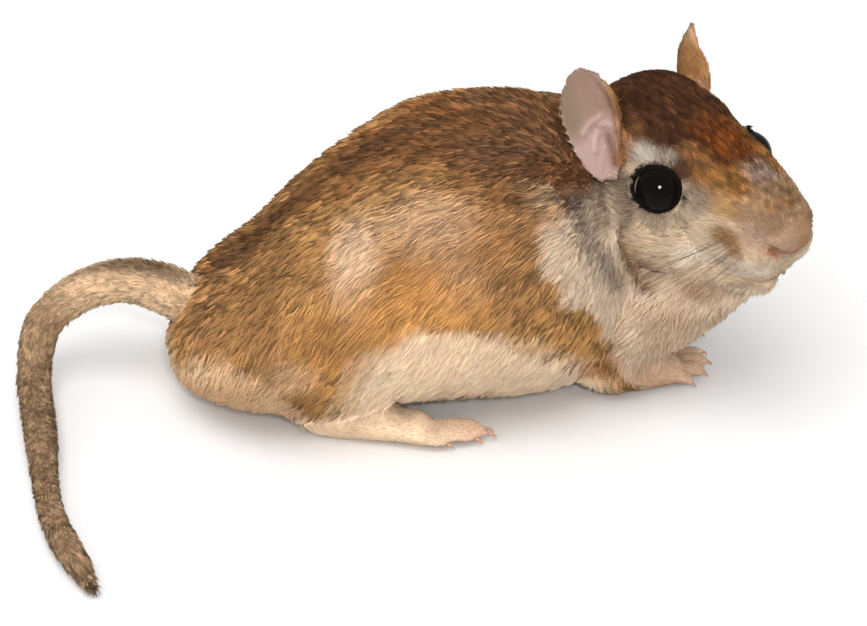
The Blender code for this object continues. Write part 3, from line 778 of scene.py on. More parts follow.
# The coat's colour and share of dark ticks at any points of the skin.
def markings(points, normals, w):
    local = toHead(points)
    ahead, leftward, upward = local.T
    mirrored = mirror(local)
    x, y, z = points.T
    lateral = np.abs(y + 1.5 - 0.03 * x)
    topward = normals[:, 2]
    broad = ripple(points, 22, 3)
    fine = ripple(points, 7, 5)

    # flanks and back, darker towards the spine
    facing = np.stack([x, -np.abs(y + 1.5) - 1.5, z], 1)
    colour = plain("flank", points)
    colour = addPatches(colour, facing, flankPatches)
    wide = np.interp(x, [-40, -20, -5, 5, 20], [3, 4, 9, 13, 13])
    upper = (1 - smooth(wide - 3, wide + 3, lateral + 1.6 * fine)) * smooth(-0.3, 0.1, topward)
    colour = mix(colour, "backMid", upper * (1 - 0.2 * smooth(-8, -20, x)))
    spine = (1 - smooth(0.5, 4.5, lateral + fine)) * smooth(0, 0.4, topward + 0.2)
    colour = mix(colour, "backDark", spine * (0.7 - 0.35 * smooth(-8, 4, x)))
    colour = addPatches(colour, facing, shoulderTop + rumpPatches)
    colour = mix(colour, "shoulder", 0.75 * nearLine(facing, rumpLine, 1.3))
    ticks = 0.16 + 0.44 * (1 - smooth(6, 19, lateral)) + 0.06 * fine
    ticks = ticks + 0.16 * smooth(4, 14, x) + 0.04 * smooth(-10, -22, x)

    # cream below, with a fairly sharp edge
    soft = 1.4 + 1.6 * smooth(-20, -30, x)
    cream = np.zeros(len(points))
    for step in (0, -2.5, 2.5):
        edge = np.interp(x + step, bellyEdge["x"], bellyEdge["z"]) + 0.7 * fine
        cream = cream + smooth(edge + soft, edge - soft, z)
    cream = cream / 3
    front = smooth(-0.9, 0.9, x - np.interp(z, throatEdge["z"], throatEdge["x"]) + 0.4 * fine)
    front = front * (1 - smooth(39.5, 42, z))
    colour = mix(colour, "belly", cream)
    colour = mix(colour, "rumpCream", cream * smooth(-20, -26, x))
    colour = mix(colour, "throat", front)
    colour = mix(colour, "throatLow", front * smooth(30, 36, x) * smooth(24, 18, z) * 0.85)
    pale = np.maximum(cream, front)
    ticks = ticks * (1 - pale)
    colour = addPatches(colour, facing, limbPatches)

    # head
    head = plain("crown", points)
    head = mix(head, "snoutSide", smooth(3, 8, ahead) * smooth(8.5, 6, upward))
    head = mix(head, "cheek", smooth(4, 0.5, upward))
    head = addPatches(head, mirrored, headPatches)
    underEye = smooth(3, 0, upward) * smooth(-9, -4, upward) * smooth(10, 6, ahead)
    headTicks = 0.035 + 0.5 * smooth(3, 7, upward) * smooth(16, 6, ahead) + 0.13 * underEye
    # The nostrils get their own dark colour, and the nose's rim is greyed. Along the mouth's line and the
    # nose's fold the dark tone is painted shade in the creases.
    for line, name, size, amount in (
        ("nostril", "nostril", 1.0, 0.95), ("mouth", "creaseShade", 0.7, 0.75),
        ("noseFold", "creaseShade", 0.8, 0.8), ("noseRim", "snoutGrey", 0.5, 0.4),
    ):
        head = mix(head, name, amount * nearLine(mirrored, grooves[line][0], size))
    lowHead = smooth(-12.5, -15, upward) * smooth(6, 2, ahead)
    head = mix(head, "throat", 0.5 * lowHead)
    colour = colour + (head - colour) * w["head"][:, None]
    nape = smooth(-8, -12, ahead) * smooth(-9, -5, leftward) * smooth(28, 33, z) * smooth(8, 12, x)
    nape = nape * smooth(-13, -7, upward) * smooth(6, 2, upward)
    colour = mix(colour, "shoulder", 0.9 * nape)
    ticks = ticks + (headTicks - ticks) * w["head"]
    colour = addPatches(colour, mirrored, seamPatches)
    colour = mix(colour, "grey", 0.95 * nearLine(facing, greyLine, 2.7))
    colour = mix(colour, "cheekOrange", 0.75 * nearLine(mirrored, cheekLine, 1.45))
    # Painted shade: dark brown in the cheek's fold.
    colour = mix(colour, "cheekFoldShade", 0.85 * nearLine(mirrored, grooves["cheekFold"][0], 1.15))
    for which in (-1, 1):
        share, reach, _, _ = eyeShare(local, which)
        rear = smooth(2, -2.5, ahead - eye["at"][which][0])
        rim = np.exp(-(np.maximum(share + 0.02 * fine - 1.0, 0) / (0.06 + 0.06 * rear)) ** 2)
        colour = mix(colour, "lid", rim * (reach < 5.2))

    # tail: dark along the top, buff at the sides, dark at the tip
    along = tailShare(points)
    tail = plain("tailSide", points)
    tail = mix(tail, "tailArch", smooth(0.36, 0.24, along))
    tail = mix(tail, "tailDark", smooth(0.36, 0.5, along) * 0.45)
    tail = mix(tail, "tailTop", smooth(0.7, 1.0, topward) * smooth(0.45, 0.25, along) * 0.9)
    tail = mix(tail, "tuft", smooth(0.95, 0.995, along))
    colour = colour + (tail - colour) * w["tail"][:, None]
    ticks = ticks + (0.22 + 0.2 * smooth(0.3, 0.45, along) - ticks) * w["tail"]

    # feet and hands
    feet = plain("foot", points)
    feet = mix(feet, "toe", smooth(1, 8, x))
    feet = mix(feet, "paw", smooth(26, 30, x) * (1 - 0.45 * smooth(40, 43, x)))
    feet = mix(feet, "grey", 0.55 * np.exp(-(((x + 5) / 1.8) ** 2 + ((y + 20) / 1.6) ** 2)))
    foot = np.clip(w["hind"] + w["fore"] * smooth(31, 36, x), 0, 1)
    colour = colour + (feet - colour) * foot[:, None]
    ticks = ticks * (1 - foot)

    # ears
    inner, across, up = earPlace(points, normals, local)
    leafTone = plain("earBack", points)
    leafTone = mix(leafTone, "flankPale", 0.5 * smooth(0.75, 1.0, up))
    hollow = plain("earInner", points)
    hollow = mix(hollow, "earConch", smooth(0.55, 0.36, up + 0.03 * across))
    hollow = mix(hollow, "earGrey", 0.85 * smooth(0.6, 3, across) * smooth(0.4, 0.55, up))
    hollow = mix(hollow, "greyBuff", 0.8 * smooth(0.09, 0.0, up))
    leafTone = mix(leafTone, "greyBuff", smooth(0.12, 0.02, up))
    leaf = np.stack([across, up * earLong], 1)
    for line, name, size, amount in earStrokes:
        stroke = [(a, share * earLong) for a, share in line]
        hollow = mix(hollow, name, amount * nearLine(leaf, stroke, size))
    leafTone = leafTone + (hollow - leafTone) * inner[:, None]
    colour = colour + (leafTone - colour) * w["ear"][:, None]
    ticks = ticks * (1 - w["ear"]) + w["ear"] * (0.15 * (1 - inner) + 0.3 * smooth(-3, -3.8, across) * inner)
    colour = colour * (1 + 0.05 * broad)[:, None]
    return np.clip(colour, 0.001, 1), np.clip(ticks, 0, 1)


# The coat of each form: length and width of a tuft, and tufts to a square millimetre.
coat = {
    "trunk": (3.4, 0.105, 19.5), "neck": (3.3, 0.1, 20.0), "throat": (3.6, 0.1, 20.0),
    "haunch": (3.3, 0.1, 19.5),
    "arm": (2.9, 0.1, 19.0), "skull": (1.9, 0.085, 32.0), "jaw": (2.2, 0.085, 30.0),
    "cheek": (2.4, 0.085, 30.0),
    "pad": (1.3, 0.075, 38.0), "nose": (0.6, 0.06, 40.0), "hindFoot": (1.3, 0.075, 26.0),
    "foreFoot": (1.3, 0.075, 26.0), "toe": (0.7, 0.07, 20.0), "ear": (1.0, 0.075, 36.0),
    "tail": (1.3, 0.08, 28.0),
}


# How the hair lies at each skin point, and its length, width, crowding, the coat's depth, and how far the
# tips stand off the skin.
def coatFields():
    global lie
    local = toHead(skinPoints)
    ahead, leftward, upward = local.T
    y, z = skinPoints.T[1:]
    length, width, crowd = np.array([coat[name] for name in formNames])[np.searchsorted(formNames, formOf)].T
    onBody = np.isin(formOf, ("trunk", "neck"))
    down = np.where(onBody, 0.3 + 1.0 * smooth(46, 22, z), 0.0)
    down = down + np.where(formOf == "throat", 0.9, 0.0)
    outward = np.where(onBody, 0.5 * np.sign(y + 1.5) * smooth(1, 9, np.abs(y + 1.5)), 0.0)
    lie = lie + down[:, None] * (0, 0, -1) + outward[:, None] * (0, 1, 0)
    lie = unit(blur(unit(lie), 14))
    faceward = np.clip(smooth(-4, 22, ahead), 0, 1)
    onSkull = np.isin(formOf, ("skull", "cheek", "jaw"))
    length = np.where(onSkull, length * (1.25 - 0.85 * faceward), length)
    width = np.where(onSkull, width * (1.1 - 0.4 * faceward), width)
    byCheek = np.isin(formOf, ("neck", "throat")) & (ahead > -15)
    length = np.where(byCheek, length * 0.68, length)
    length, width, crowd = (blur(v, 6) for v in (length, width, crowd))
    along = tailShare(skinPoints)
    length = length * (1 + 1.4 * smooth(0.8, 0.93, along) * (formOf == "tail"))
    deep = blur(depth, 6)
    inner, across, up = earPlace(skinPoints, skinNormals, local)
    bare = inner * smooth(-3.7, -2.9, across) * smooth(4.9, 4.2, across) * smooth(0.0, 0.07, up)
    crowd = np.where(formOf == "ear", crowd * (1 - bare), crowd)
    fringe = smooth(-2.4, -3.6, across) * smooth(0.75, 0.6, up) * (formOf == "ear")
    length = length * (1 + 0.9 * fringe)
    mirrored = mirror(local)
    for name, clear in (("nostril", 0.9), ("mouth", 0.35), ("noseFold", 0.3)):
        crowd = crowd * smooth(0.4 * clear, 1.2 * clear, toLine(mirrored, grooves[name][0]))
    crowd = np.where((formOf == "nose") & (upward < 0.5), crowd * smooth(-2.4, 0.5, upward), crowd)
    chin = smooth(6, 13, ahead) * smooth(-9.5, -12, upward) * np.isin(formOf, ("jaw", "skull"))
    lie = unit(lie + blur(chin, 4)[:, None] * (0.2, 0.1, -1.4))
    length = length * (1 + 1.0 * chin)
    stand = 0.1 + 0.45 * chin + 0.6 * smooth(0.9, 0.99, along) * (formOf == "tail")
    stand = blur(np.where(formOf == "ear", 0.3, stand), 4)
    earTip = smooth(0.84, 0.97, up) * (formOf == "ear") * (leftward > 0)
    stand = np.maximum(stand, 0.3 * earTip)
    length = length * (1 + 0.7 * earTip)
    crowd = crowd * (1 - 0.45 * smooth(-0.3, -0.75, skinNormals[:, 2]) * (z < 14))
    sole = np.isin(formOf, ("toe", "hindFoot"))
    crowd = np.where(sole, crowd * smooth(-0.75, -0.3, skinNormals[:, 2]), crowd)
    for which in (-1, 1):
        share, reach, way, _ = eyeShare(local, which)
        crowd = np.where((share < 1.1) & (reach < 8), 0, crowd)
        ring = smooth(7.4, 4.9, reach) * (share > 0.8)
        lie = unit(lie + 2.6 * ring[:, None] * (way @ axes))
        length = length * (1 - 0.4 * ring)
    return length, width, crowd, deep, stand


length, width, crowd, deep, stand = coatFields()
skinTree = plantTree(skinPoints)
print("coat fields laid out")

skinMesh.calc_loop_triangles()
skinTris = readArray(skinMesh.loop_triangles, "vertices", 3, np.int32)
rng = np.random.default_rng(11)


def at(field, tri, share):
    return (field[skinTris[tri]] * share.reshape(share.shape + (1,) * (field.ndim - 1))).sum(1)


# Hold points at a height above the skin: each is moved along the normal of its nearest skin point. Gives the
# points, the normals there and which skin points they are over.
def hugSkin(points, height):
    found = np.array([skinTree.find(p)[1] for p in points.tolist()])
    base, normal = skinPoints[found], skinNormals[found]
    now = ((points - base) * normal).sum(1)
    return points + normal * (height - now)[:, None], normal, found


# Roots spread over the skin by area and crowding, one for each equal step of the running total.
def sowRoots():
    a, b, c = (skinPoints[skinTris[:, k]] for k in range(3))
    area = np.linalg.norm(np.cross(b - a, c - a), axis=1) / 2
    wanted = area * crowd[skinTris].mean(1) * 1.0
    total = np.cumsum(wanted)
    steps = np.arange(int(total[-1]))
    tri = np.searchsorted(total, (steps + rng.random(len(steps))) / len(steps) * total[-1])
    tri = np.minimum(tri, len(skinTris) - 1)
    u, v = rng.random((2, len(tri)))
    swap = u + v > 1
    u[swap], v[swap] = 1 - u[swap], 1 - v[swap]
    return tri, np.stack([1 - u - v, u, v], 1)


# One tuft is a blade of four faces: a root just under the skin, two corners part of the way along, and a tip.
# lift is the tip's height as shares of the coat's depth: the least, and what u and u^6 add for a random u.
tuftShape = {
    "sway": 0.13, "scatter": 0.14, "sizes": (0.7, 1.25), "widths": (0.75, 1.25), "cornersAt": 0.4,
    "cornersHigh": 0.75, "lift": (0.3, 0.28, 0.5), "rootSunk": 0.15, "lean": 0.12,
    # Each tuft's root is darker, for the hair's grey base and for painted shade deep in the coat.
    "rootGreyAndShade": 0.9, "tipTone": 1.08, "darkThin": 0.8,
}


def growTufts():
    tri, share = sowRoots()
    root = at(skinPoints, tri, share)
    normal = unit(at(skinNormals, tri, share))
    way = at(lie, tri, share)
    n = len(root)
    sway = np.stack([ripple(root, 5, 21), ripple(root, 5, 22), ripple(root, 5, 23)], 1)
    way = unit(way) + tuftShape["sway"] * sway + tuftShape["scatter"] * rng.normal(size=(n, 3))
    way = unit(way - (way * normal).sum(1, keepdims=True) * normal)
    size = at(length, tri, share) * rng.uniform(*tuftShape["sizes"], n)
    thick = at(width, tri, share) * rng.uniform(*tuftShape["widths"], n) * 1.0
    high = rng.random(n)
    least, even, rare = tuftShape["lift"]
    lift = at(deep, tri, share) * (least + even * high + rare * high**6)
    middle = root + way * (size * tuftShape["cornersAt"])[:, None]
    ring, ringNormal, _ = hugSkin(middle, lift * tuftShape["cornersHigh"])
    tip, tipNormal, under = hugSkin(root + way * size[:, None], lift)
    raised = at(stand, tri, share)
    free = root + unit(way + (0.35 + 1.3 * raised[:, None]) * normal) * size[:, None]
    tip = tip + (free - tip) * (raised * rng.uniform(0.3, 1.4, n))[:, None]
    # a tuft has the colour of the place it covers, which is ahead of its root
    seen = ring + (tip - ring) * 0.5
    w = {name: value[under] for name, value in weights.items()}
    colour, ticks = markings(seen, tipNormal, w)
    dark = rng.random(n) < ticks * (1 + 0.7 * ripple(seen, 2.2, 31))
    thick = np.where(dark, thick * tuftShape["darkThin"], thick)
    across = unit(np.cross(tip - root, ringNormal))
    half = thick[:, None] / 2
    corners = [root - normal * tuftShape["rootSunk"], ring + across * half, ring - across * half, tip]
    points = np.stack(corners, 1)
    points[..., 2] = np.maximum(points[..., 2], 0.04 + 0.05 * rng.random((n, 1)))
    arms = points[:, 1:] - points[:, :1]
    hollow = (arms[:, 0] * np.cross(arms[:, 1], arms[:, 2])).sum(1) > 0    # a blade bent the other way
    points[hollow] = points[hollow][:, [0, 2, 1, 3]]
    lean = tuftShape["lean"] * across
    normals = np.stack([normal, ringNormal + lean, ringNormal - lean, tipNormal], 1)
    crownward = w["head"] * smooth(3, 7, toHead(seen)[:, 2])
    mottle = 0.05 + 0.3 * ticks * (1 - w["head"]) + 0.24 * crownward
    shade = rng.normal(0, 0.055, n) + 0.03 * ripple(seen, 4, 33) + mottle * ripple(seen, 1.7, 35)
    shades = np.exp(shade)[:, None] * np.exp(rng.normal(0, 0.025, (n, 3)))
    colour = colour * shades * furGain
    # Dark hairs end in the tick; the other tips are brightened, a painted glow of light through the hair's
    # ends.
    tipTone = np.where(dark[:, None], 0.45 * furTones["tick"] + 0.3 * colour, colour * tuftShape["tipTone"])
    ringTone = np.where(dark[:, None], colour * 0.72 + furTones["tick"] * 0.1, colour)
    tones = np.stack([colour * tuftShape["rootGreyAndShade"], ringTone, ringTone, tipTone], 1)
    formHere = formOf[skinTris[tri, np.argmax(share, 1)]]
    return {"points": points, "normals": unit(normals), "tones": tones, "root": root, "normal": normal,
            "form": formHere}


mostFaces = 199000
tuftFaces = np.array([(0, 1, 2), (3, 2, 1), (0, 3, 1), (0, 2, 3)])
tuftLayout = np.array([(0, -0.5), (-0.5, -0.1), (0.5, -0.1), (0, 0.5)])   # a tuft's own patch of the map


# Unwraps of the skin's own shape, as (u, v) from 0 to 1: a turn about the middle line and the way along it.
def unwrap(root, normal, kind):
    if kind == "head":
        local = toHead(root)
        turn = np.arctan2(local[:, 1], local[:, 2] + 3)
        return turn / 6.4 + 0.5, (local[:, 0] + 28) / 56
    x, y, z = root.T
    if kind == "tail":
        share = tailShare(root) * 0.999
        place = (share * (len(tailLine) - 1)).astype(int)
        away = root - tailLine[place]
        ahead = unit(tailLine[np.minimum(place + 1, len(tailLine) - 1)] - tailLine[np.maximum(place - 1, 0)])
        level = unit(np.cross(ahead, (0.02, 0.01, 1)))
        turn = np.arctan2((away * level).sum(1), (away * np.cross(level, ahead)).sum(1))
        return turn / 6.4 + 0.5, share + (away * ahead).sum(1) / 140
    if kind == "limb":
        # each limb has its own column; turn about a line at ankle height
        fore = x > 18
        column = fore * 2 + (y > 0)
        middle = np.where(fore, np.sign(y) * 8.8 + 1.5, np.sign(y + 2.5) * 17.5 - 2.5)
        turn = np.arctan2(y - middle, z - 2.5)
        return (column + turn / 6.6 + 0.5) / 4, np.where(fore, (x - 18) / 32, (x + 36) / 50)
    if kind == "ear":
        local = toHead(root)
        inner, across, up = earPlace(root, normal, local)
        column = (local[:, 1] > 0) * 2 + (inner > 0.5)
        return (column + (across + 7) / 14) / 4, (up + 0.2) / 1.4
    return np.arctan2(y + 2, z - 20) / 6.4 + 0.5, (x + 52) / 110


# Which coat piece each tuft belongs to, and how that piece is unwrapped.
def coatPieces(tufts):
    form, root, normal = tufts["form"], tufts["root"], tufts["normal"]
    x, right = root[:, 0], root[:, 1] < -1
    ahead, _, up = toHead(root).T
    body = np.isin(form, ("trunk", "neck", "throat"))
    face = np.isin(form, ("skull", "cheek", "jaw", "pad", "nose"))
    back, under = body & (normal[:, 2] > 0.5), body & (normal[:, 2] < -0.35)
    side = body & ~back & ~under
    return {
        "rumpCoat": (back & (x < -14), "body"),
        "backCoat": (back & (x >= -14) & (x < 14), "body"),
        "shoulderCoat": (back & (x >= 14), "body"),
        "flankCoatRight": (side & right & (x < 20), "body"),
        "flankCoatLeft": (side & ~right & (x < 20), "body"),
        "throatCoat": (side & (x >= 20), "body"),
        "bellyCoat": (under, "body"),
        "haunchCoat": (form == "haunch", "body"),
        "legCoat": (np.isin(form, ("arm", "hindFoot", "foreFoot", "toe")), "limb"),
        "crownCoat": (face & (up > 0.5) & (ahead < 9), "head"),
        "muzzleCoat": (face & (ahead >= 9), "head"),
        "cheekCoat": (face & (up <= 0.5) & (ahead < 9), "head"),
        "earCoat": (form == "ear", "ear"),
        "tailCoat": (form == "tail", "tail"),
    }


def setColours(mesh, name, colours):
    layer = mesh.color_attributes.new(name, "FLOAT_COLOR", "POINT")
    full = np.ones((len(colours), 4), np.float32)
    full[:, :3] = colours
    layer.data.foreach_set("color", full.ravel())


# One coat piece from the chosen tufts, with its colours, its map and its own normals.
def weaveCoat(name, tufts, chosen, kind, material):
    points = tufts["points"][chosen].reshape(-1, 3)
    count = int(chosen.sum())
    if count * len(tuftFaces) > mostFaces:
        raise ValueError(name + " has too many faces")
    faces = (tuftFaces[None] + (np.arange(count) * 4)[:, None, None]).reshape(-1, 3)
    mesh = bpy.data.meshes.new(name)
    mesh.vertices.add(len(points))
    mesh.vertices.foreach_set("co", ((points - bodyMiddle) * mm).astype(np.float32).ravel())
    mesh.loops.add(faces.size)
    mesh.loops.foreach_set("vertex_index", faces.astype(np.int32).ravel())
    mesh.polygons.add(len(faces))
    mesh.polygons.foreach_set("loop_start", np.arange(0, faces.size, 3, dtype=np.int32))
    mesh.update(calc_edges=True)
    mesh.shade_smooth()
    setColours(mesh, "coatColour", tufts["tones"][chosen].reshape(-1, 3))
    u, v = unwrap(tufts["root"][chosen], tufts["normal"][chosen], kind)
    corner = np.stack([u, v], 1)[:, None] * 0.98 + 0.01 + tuftLayout[None] * 0.003
    corner = np.clip(corner, 0.001, 0.999).reshape(-1, 2)
    corner = corner[faces.ravel()].astype(np.float32)
    mesh.uv_layers.new(name="OFBake").data.foreach_set("uv", corner.ravel())
    mesh.normals_split_custom_set_from_vertices(tufts["normals"][chosen].reshape(-1, 3))
    finishPiece(addObject(name, mesh), material)
    print("  ", name, count, "tufts")


# A shader with its plain values set on its own sockets.
def newMaterial(name, roughness, specular=0.4, colour=(0.5, 0.5, 0.5)):
    material = bpy.data.materials.new(name)
    material.use_nodes = True
    shader = material.node_tree.nodes["Principled BSDF"]
    shader.inputs["Base Color"].default_value = (*colour, 1)
    shader.inputs["Roughness"].default_value = roughness
    shader.inputs["Specular IOR Level"].default_value = specular
    return material, material.node_tree, shader


def attributeColour(tree, shader, layer):
    node = tree.nodes.new("ShaderNodeVertexColor")
    node.layer_name = layer
    tree.links.new(node.outputs["Color"], shader.inputs["Base Color"])


# Noise height in object space, fed to a bump node.
def addBump(tree, shader, scale, strength, distance):
    place = tree.nodes.new("ShaderNodeTexCoord")
    noise = tree.nodes.new("ShaderNodeTexNoise")
    noise.inputs["Scale"].default_value = scale
    noise.inputs["Detail"].default_value = 4.0
    bump = tree.nodes.new("ShaderNodeBump")
    bump.inputs["Strength"].default_value = strength
    bump.inputs["Distance"].default_value = distance
    tree.links.new(place.outputs["Object"], noise.inputs["Vector"])
    tree.links.new(noise.outputs["Fac"], bump.inputs["Height"])
    tree.links.new(bump.outputs["Normal"], shader.inputs["Normal"])


def furMaterial():
    material, tree, shader = newMaterial("furTufts", 0.7, 0.06)
    attributeColour(tree, shader, "coatColour")
    return material


def skinMaterial():
    material, tree, shader = newMaterial("skinUnderFur", 0.65, 0.1)
    attributeColour(tree, shader, "skinColour")
    addBump(tree, shader, 2600.0, 0.35, 0.0002)
    return material


# The skin piece: the sculpted mesh with the coat's markings, a little darker under thick fur.
def finishSkin():
    colour, _ = markings(skinPoints, skinNormals, weights)
    bare = np.clip(weights["ear"] + weights["nose"] + weights["hind"], 0, 1)[:, None]
    colour = colour * (furGain * 0.8 + (skinGain - furGain * 0.8) * bare)
    local = toHead(skinPoints)
    mirrored = mirror(local)
    # Painted shade in the nostrils and along the mouth's line, and pink in the lip's split.
    for line, name, size, amount in (
        ("nostril", "nostrilShade", 0.5, 0.9), ("mouth", "heel", 0.5, 0.8), ("lipSplit", "nosePink", 0.8, 0.8),
    ):
        colour = mix(colour, name, amount * nearLine(mirrored, grooves[line][0], size))
    setColours(skinMesh, "skinColour", colour)
    skinMesh.name = "skin"
    skinMesh.shade_smooth()
    piece = addObject("skin", skinMesh)
    finishPiece(piece, skinMaterial())
    return piece


skin = finishSkin()
fleshNodes = [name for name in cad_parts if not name.startswith("eye_")]
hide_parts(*fleshNodes)
print("skin finished")

fur = furMaterial()
tufts = growTufts()
print("tufts grown:", len(tufts["root"]))
for name, (chosen, kind) in coatPieces(tufts).items():
    weaveCoat(name, tufts, chosen, kind, fur)


# A round or oval profile carried along a path: path + side * wide * cos a + above * high * sin a.
def tube(path, wide, high, sides, above):
    path = np.asarray(path, float)
    ahead = unit(np.gradient(path, axis=0))
    above = np.broadcast_to(np.asarray(above, float), path.shape)
    lateral = unit(np.cross(above, ahead))
    above = np.cross(ahead, lateral)
    angle = 2 * np.pi * np.arange(sides) / sides
    ring = lateral[:, None] * (wide[:, None] * np.cos(angle))[..., None]
    return path[:, None] + ring + above[:, None] * (high[:, None] * np.sin(angle))[..., None]


# Directions on the eyeball: an angle from its axis and a turn about it, turn 0 towards the nose.
def eyeWays(which, angle, turn):
    axis, forward, upward = eyeAxes(which)
    angle = np.radians(angle)[..., None]
    around = np.cos(turn)[..., None] * forward + np.sin(turn)[..., None] * upward
    return np.cos(angle) * axis + np.sin(angle) * around


# A sphere about the eye's axis with a slight bulge over the lens: radius + 0.1 * exp(-(angle / 34)^2).
def makeEyeball(which, name, material):
    centre = np.array(eye["at"][which])
    angle = np.linspace(0.8, 179.2, 60)[:, None] + np.zeros((1, 72))
    turn = np.linspace(0, 2 * np.pi, 72, endpoint=False)[None] + np.zeros((60, 1))
    reach = eye["radius"] + 0.1 * np.exp(-(angle / 34) ** 2)
    verts, faces = closeGrid(inHead(centre + eyeWays(which, angle, turn * which) * reach[..., None]))
    piece = newObject("eyeball_" + name, verts, faces)
    away = np.degrees(np.arccos(np.clip(unit(toHead(verts) - centre) @ eyeAxes(which)[0], -1, 1)))
    ring = np.exp(-((away - eye["lens"]) / 4.5) ** 2)[:, None]
    dark = np.tile(np.array(eye["dark"]), (len(verts), 1))
    setColours(piece.data, "eyeColour", dark + ring * (tone(*eye["ring"]) - dark))
    finishPiece(piece, material)
    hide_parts("eye_" + name)


# An oval tube round the lids' opening, widest at the rear: path + across * wide * cos a + outward * high *
# sin a.
def makeLidRim(which, name, material, steps=96, sides=10, high=0.17):
    turn = np.linspace(0, 2 * np.pi, steps, endpoint=False)
    ways = eyeWays(which, lidOpening(turn), turn)
    path = np.array(eye["at"][which]) + ways * (eye["radius"] + 0.05)
    wide = 0.48 + 0.2 * np.exp(-((turn - 2.6) / 0.9) ** 2) + 0.08 * np.exp(-((turn - 1.3) / 0.6) ** 2)
    lateral = unit(np.cross(ways, unit(np.roll(path, -1, 0) - np.roll(path, 1, 0))))
    around = 2 * np.pi * np.arange(sides) / sides
    ring = path[:, None] + lateral[:, None] * (wide[:, None] * np.cos(around))[..., None]
    ring = ring + ways[:, None] * (high * np.sin(around))[None, :, None]
    flat = inHead(ring.reshape(-1, 3))
    i, k = np.meshgrid(np.arange(steps), np.arange(sides), indexing="ij")
    j, n = (i + 1) % steps, (k + 1) % sides
    faces = np.stack([i * sides + k, i * sides + n, j * sides + n, j * sides + k], -1).reshape(-1, 4)
    faces = faces if volumeSign(flat, faces) > 0 else faces[:, ::-1]
    finishPiece(newObject("lidRim_" + name, flat, faces.tolist()), material)


# A pale crescent in the rear lower corner: a flat tube on the ball that swells as sin^0.8 along its length.
def makeEyeCorner(which, name, material):
    turn = np.linspace(2.9, 3.9, 30)
    ways = eyeWays(which, (lidOpening(turn) + eye["lens"]) / 2 + 3, turn)
    bell = np.sin(np.pi * np.linspace(0, 1, 30)) ** 0.8
    path = np.array(eye["at"][which]) + ways * (eye["radius"] + 0.02)
    grid = inHead(tube(path, 0.04 + 0.3 * bell, 0.04 + 0.06 * bell, 10, ways))
    finishPiece(newPiece("eyeCorner_" + name, [grid]), material)


def makeEyes():
    wet, tree, shader = newMaterial("wetEye", 0.03, 0.07)
    attributeColour(tree, shader, "eyeColour")
    rim, tree, shader = newMaterial("lidRim", 0.85, 0.03, colour=(0.007, 0.005, 0.004))
    addBump(tree, shader, 3000.0, 0.4, 0.0001)
    corner, tree, shader = newMaterial("eyeCorner", 0.5, 0.2, colour=tuple(tone(*eye["corner"])))
    addBump(tree, shader, 2500.0, 0.3, 0.0001)
    for which, name in ((-1, "right"), (1, "left")):
        makeEyeball(which, name, wet)
        makeLidRim(which, name, rim)
        makeEyeCorner(which, name, corner)


# Six times the volume within the faces, whose sign says whether they point out.
def volumeSign(verts, faces):
    a, b, c = (verts[faces[:, k]] for k in range(3))
    total = (a * np.cross(b, c)).sum()
    if faces.shape[1] == 4:
        d = verts[faces[:, 3]]
        total += (a * np.cross(c, d)).sum()
    return total


# A piece joined from closed grids, each turned so that its faces point out.
def newPiece(name, grids):
    right = []
    for grid in grids:
        v, f = closeGrid(grid)
        quads = np.array([face for face in f if len(face) == 4])
        tris = np.array([face for face in f if len(face) == 3])
        inside = v - v.mean(0)
        right.append(grid if volumeSign(inside, quads) + volumeSign(inside, tris) > 0 else grid[:, ::-1])
    verts, faces = joinGrids(right)
    return newObject(name, verts, faces)


# Length and radius of a hind and a fore claw.
claws = {"hind": (1.25, 0.36), "fore": (1.0, 0.3), "colour": tone(196, 146, 112)}


# Claws: a cone of radius * (1 - s)^0.7 carried along start + ahead * length * s + up * (0.35 + 0.35 s -
# 1.15 s^2).
def makeClaws():
    grids = []
    for name, foot in (("hind", hindFoot), ("fore", foreFoot)):
        long, radius = claws[name]
        for which in (-1, 1):
            for _, bend, tip, _ in foot["toes"]:
                start = np.array([tip[0], foot["middle"] + which * tip[1] - foot["splay"], tip[2]])
                knee = np.array([bend[0], foot["middle"] + which * bend[1] - foot["splay"], bend[2]])
                ahead = unit((start - knee) * (1, 1, 0))
                s = np.linspace(0, 1, 9)[:, None]
                path = start + ahead * (s * long - 0.5)
                path = path + np.array([0, 0, 1]) * (0.35 + 0.35 * s - 1.15 * s**2)
                path[:, 2] = np.maximum(path[:, 2], 0.18)
                taper = radius * (1 - s[:, 0]) ** 0.7 + 0.03
                grids.append(tube(path, taper * 0.8, taper, 10, (0, 0, 1)))
    material, tree, shader = newMaterial("claws", 0.35, 0.5, colour=tuple(claws["colour"]))
    addBump(tree, shader, 1800.0, 0.2, 0.0001)
    finishPiece(newPiece("claws", grids), material)


# Whiskers stand in rows on the pad: where the front upper one grows, the steps to the next one back and down,
# the way the middle ones run and how they bow (ahead, out, up), and their length from front to back.
whiskers = {
    "root": (17.2, 5.4, 0.2), "back": (-1.35, 0.6, 0.0), "down": (0.05, 0.2, -1.2), "rows": 5, "perRow": 4,
    "way": (-0.36, 0.54, -0.72), "bow": (-0.14, -0.05, -0.1), "scatter": 0.075, "short": 9.0, "long": 27.0,
    "radius": 0.036, "paleShare": 0.2, "dark": tone(70, 52, 40), "pale": tone(206, 190, 170),
}


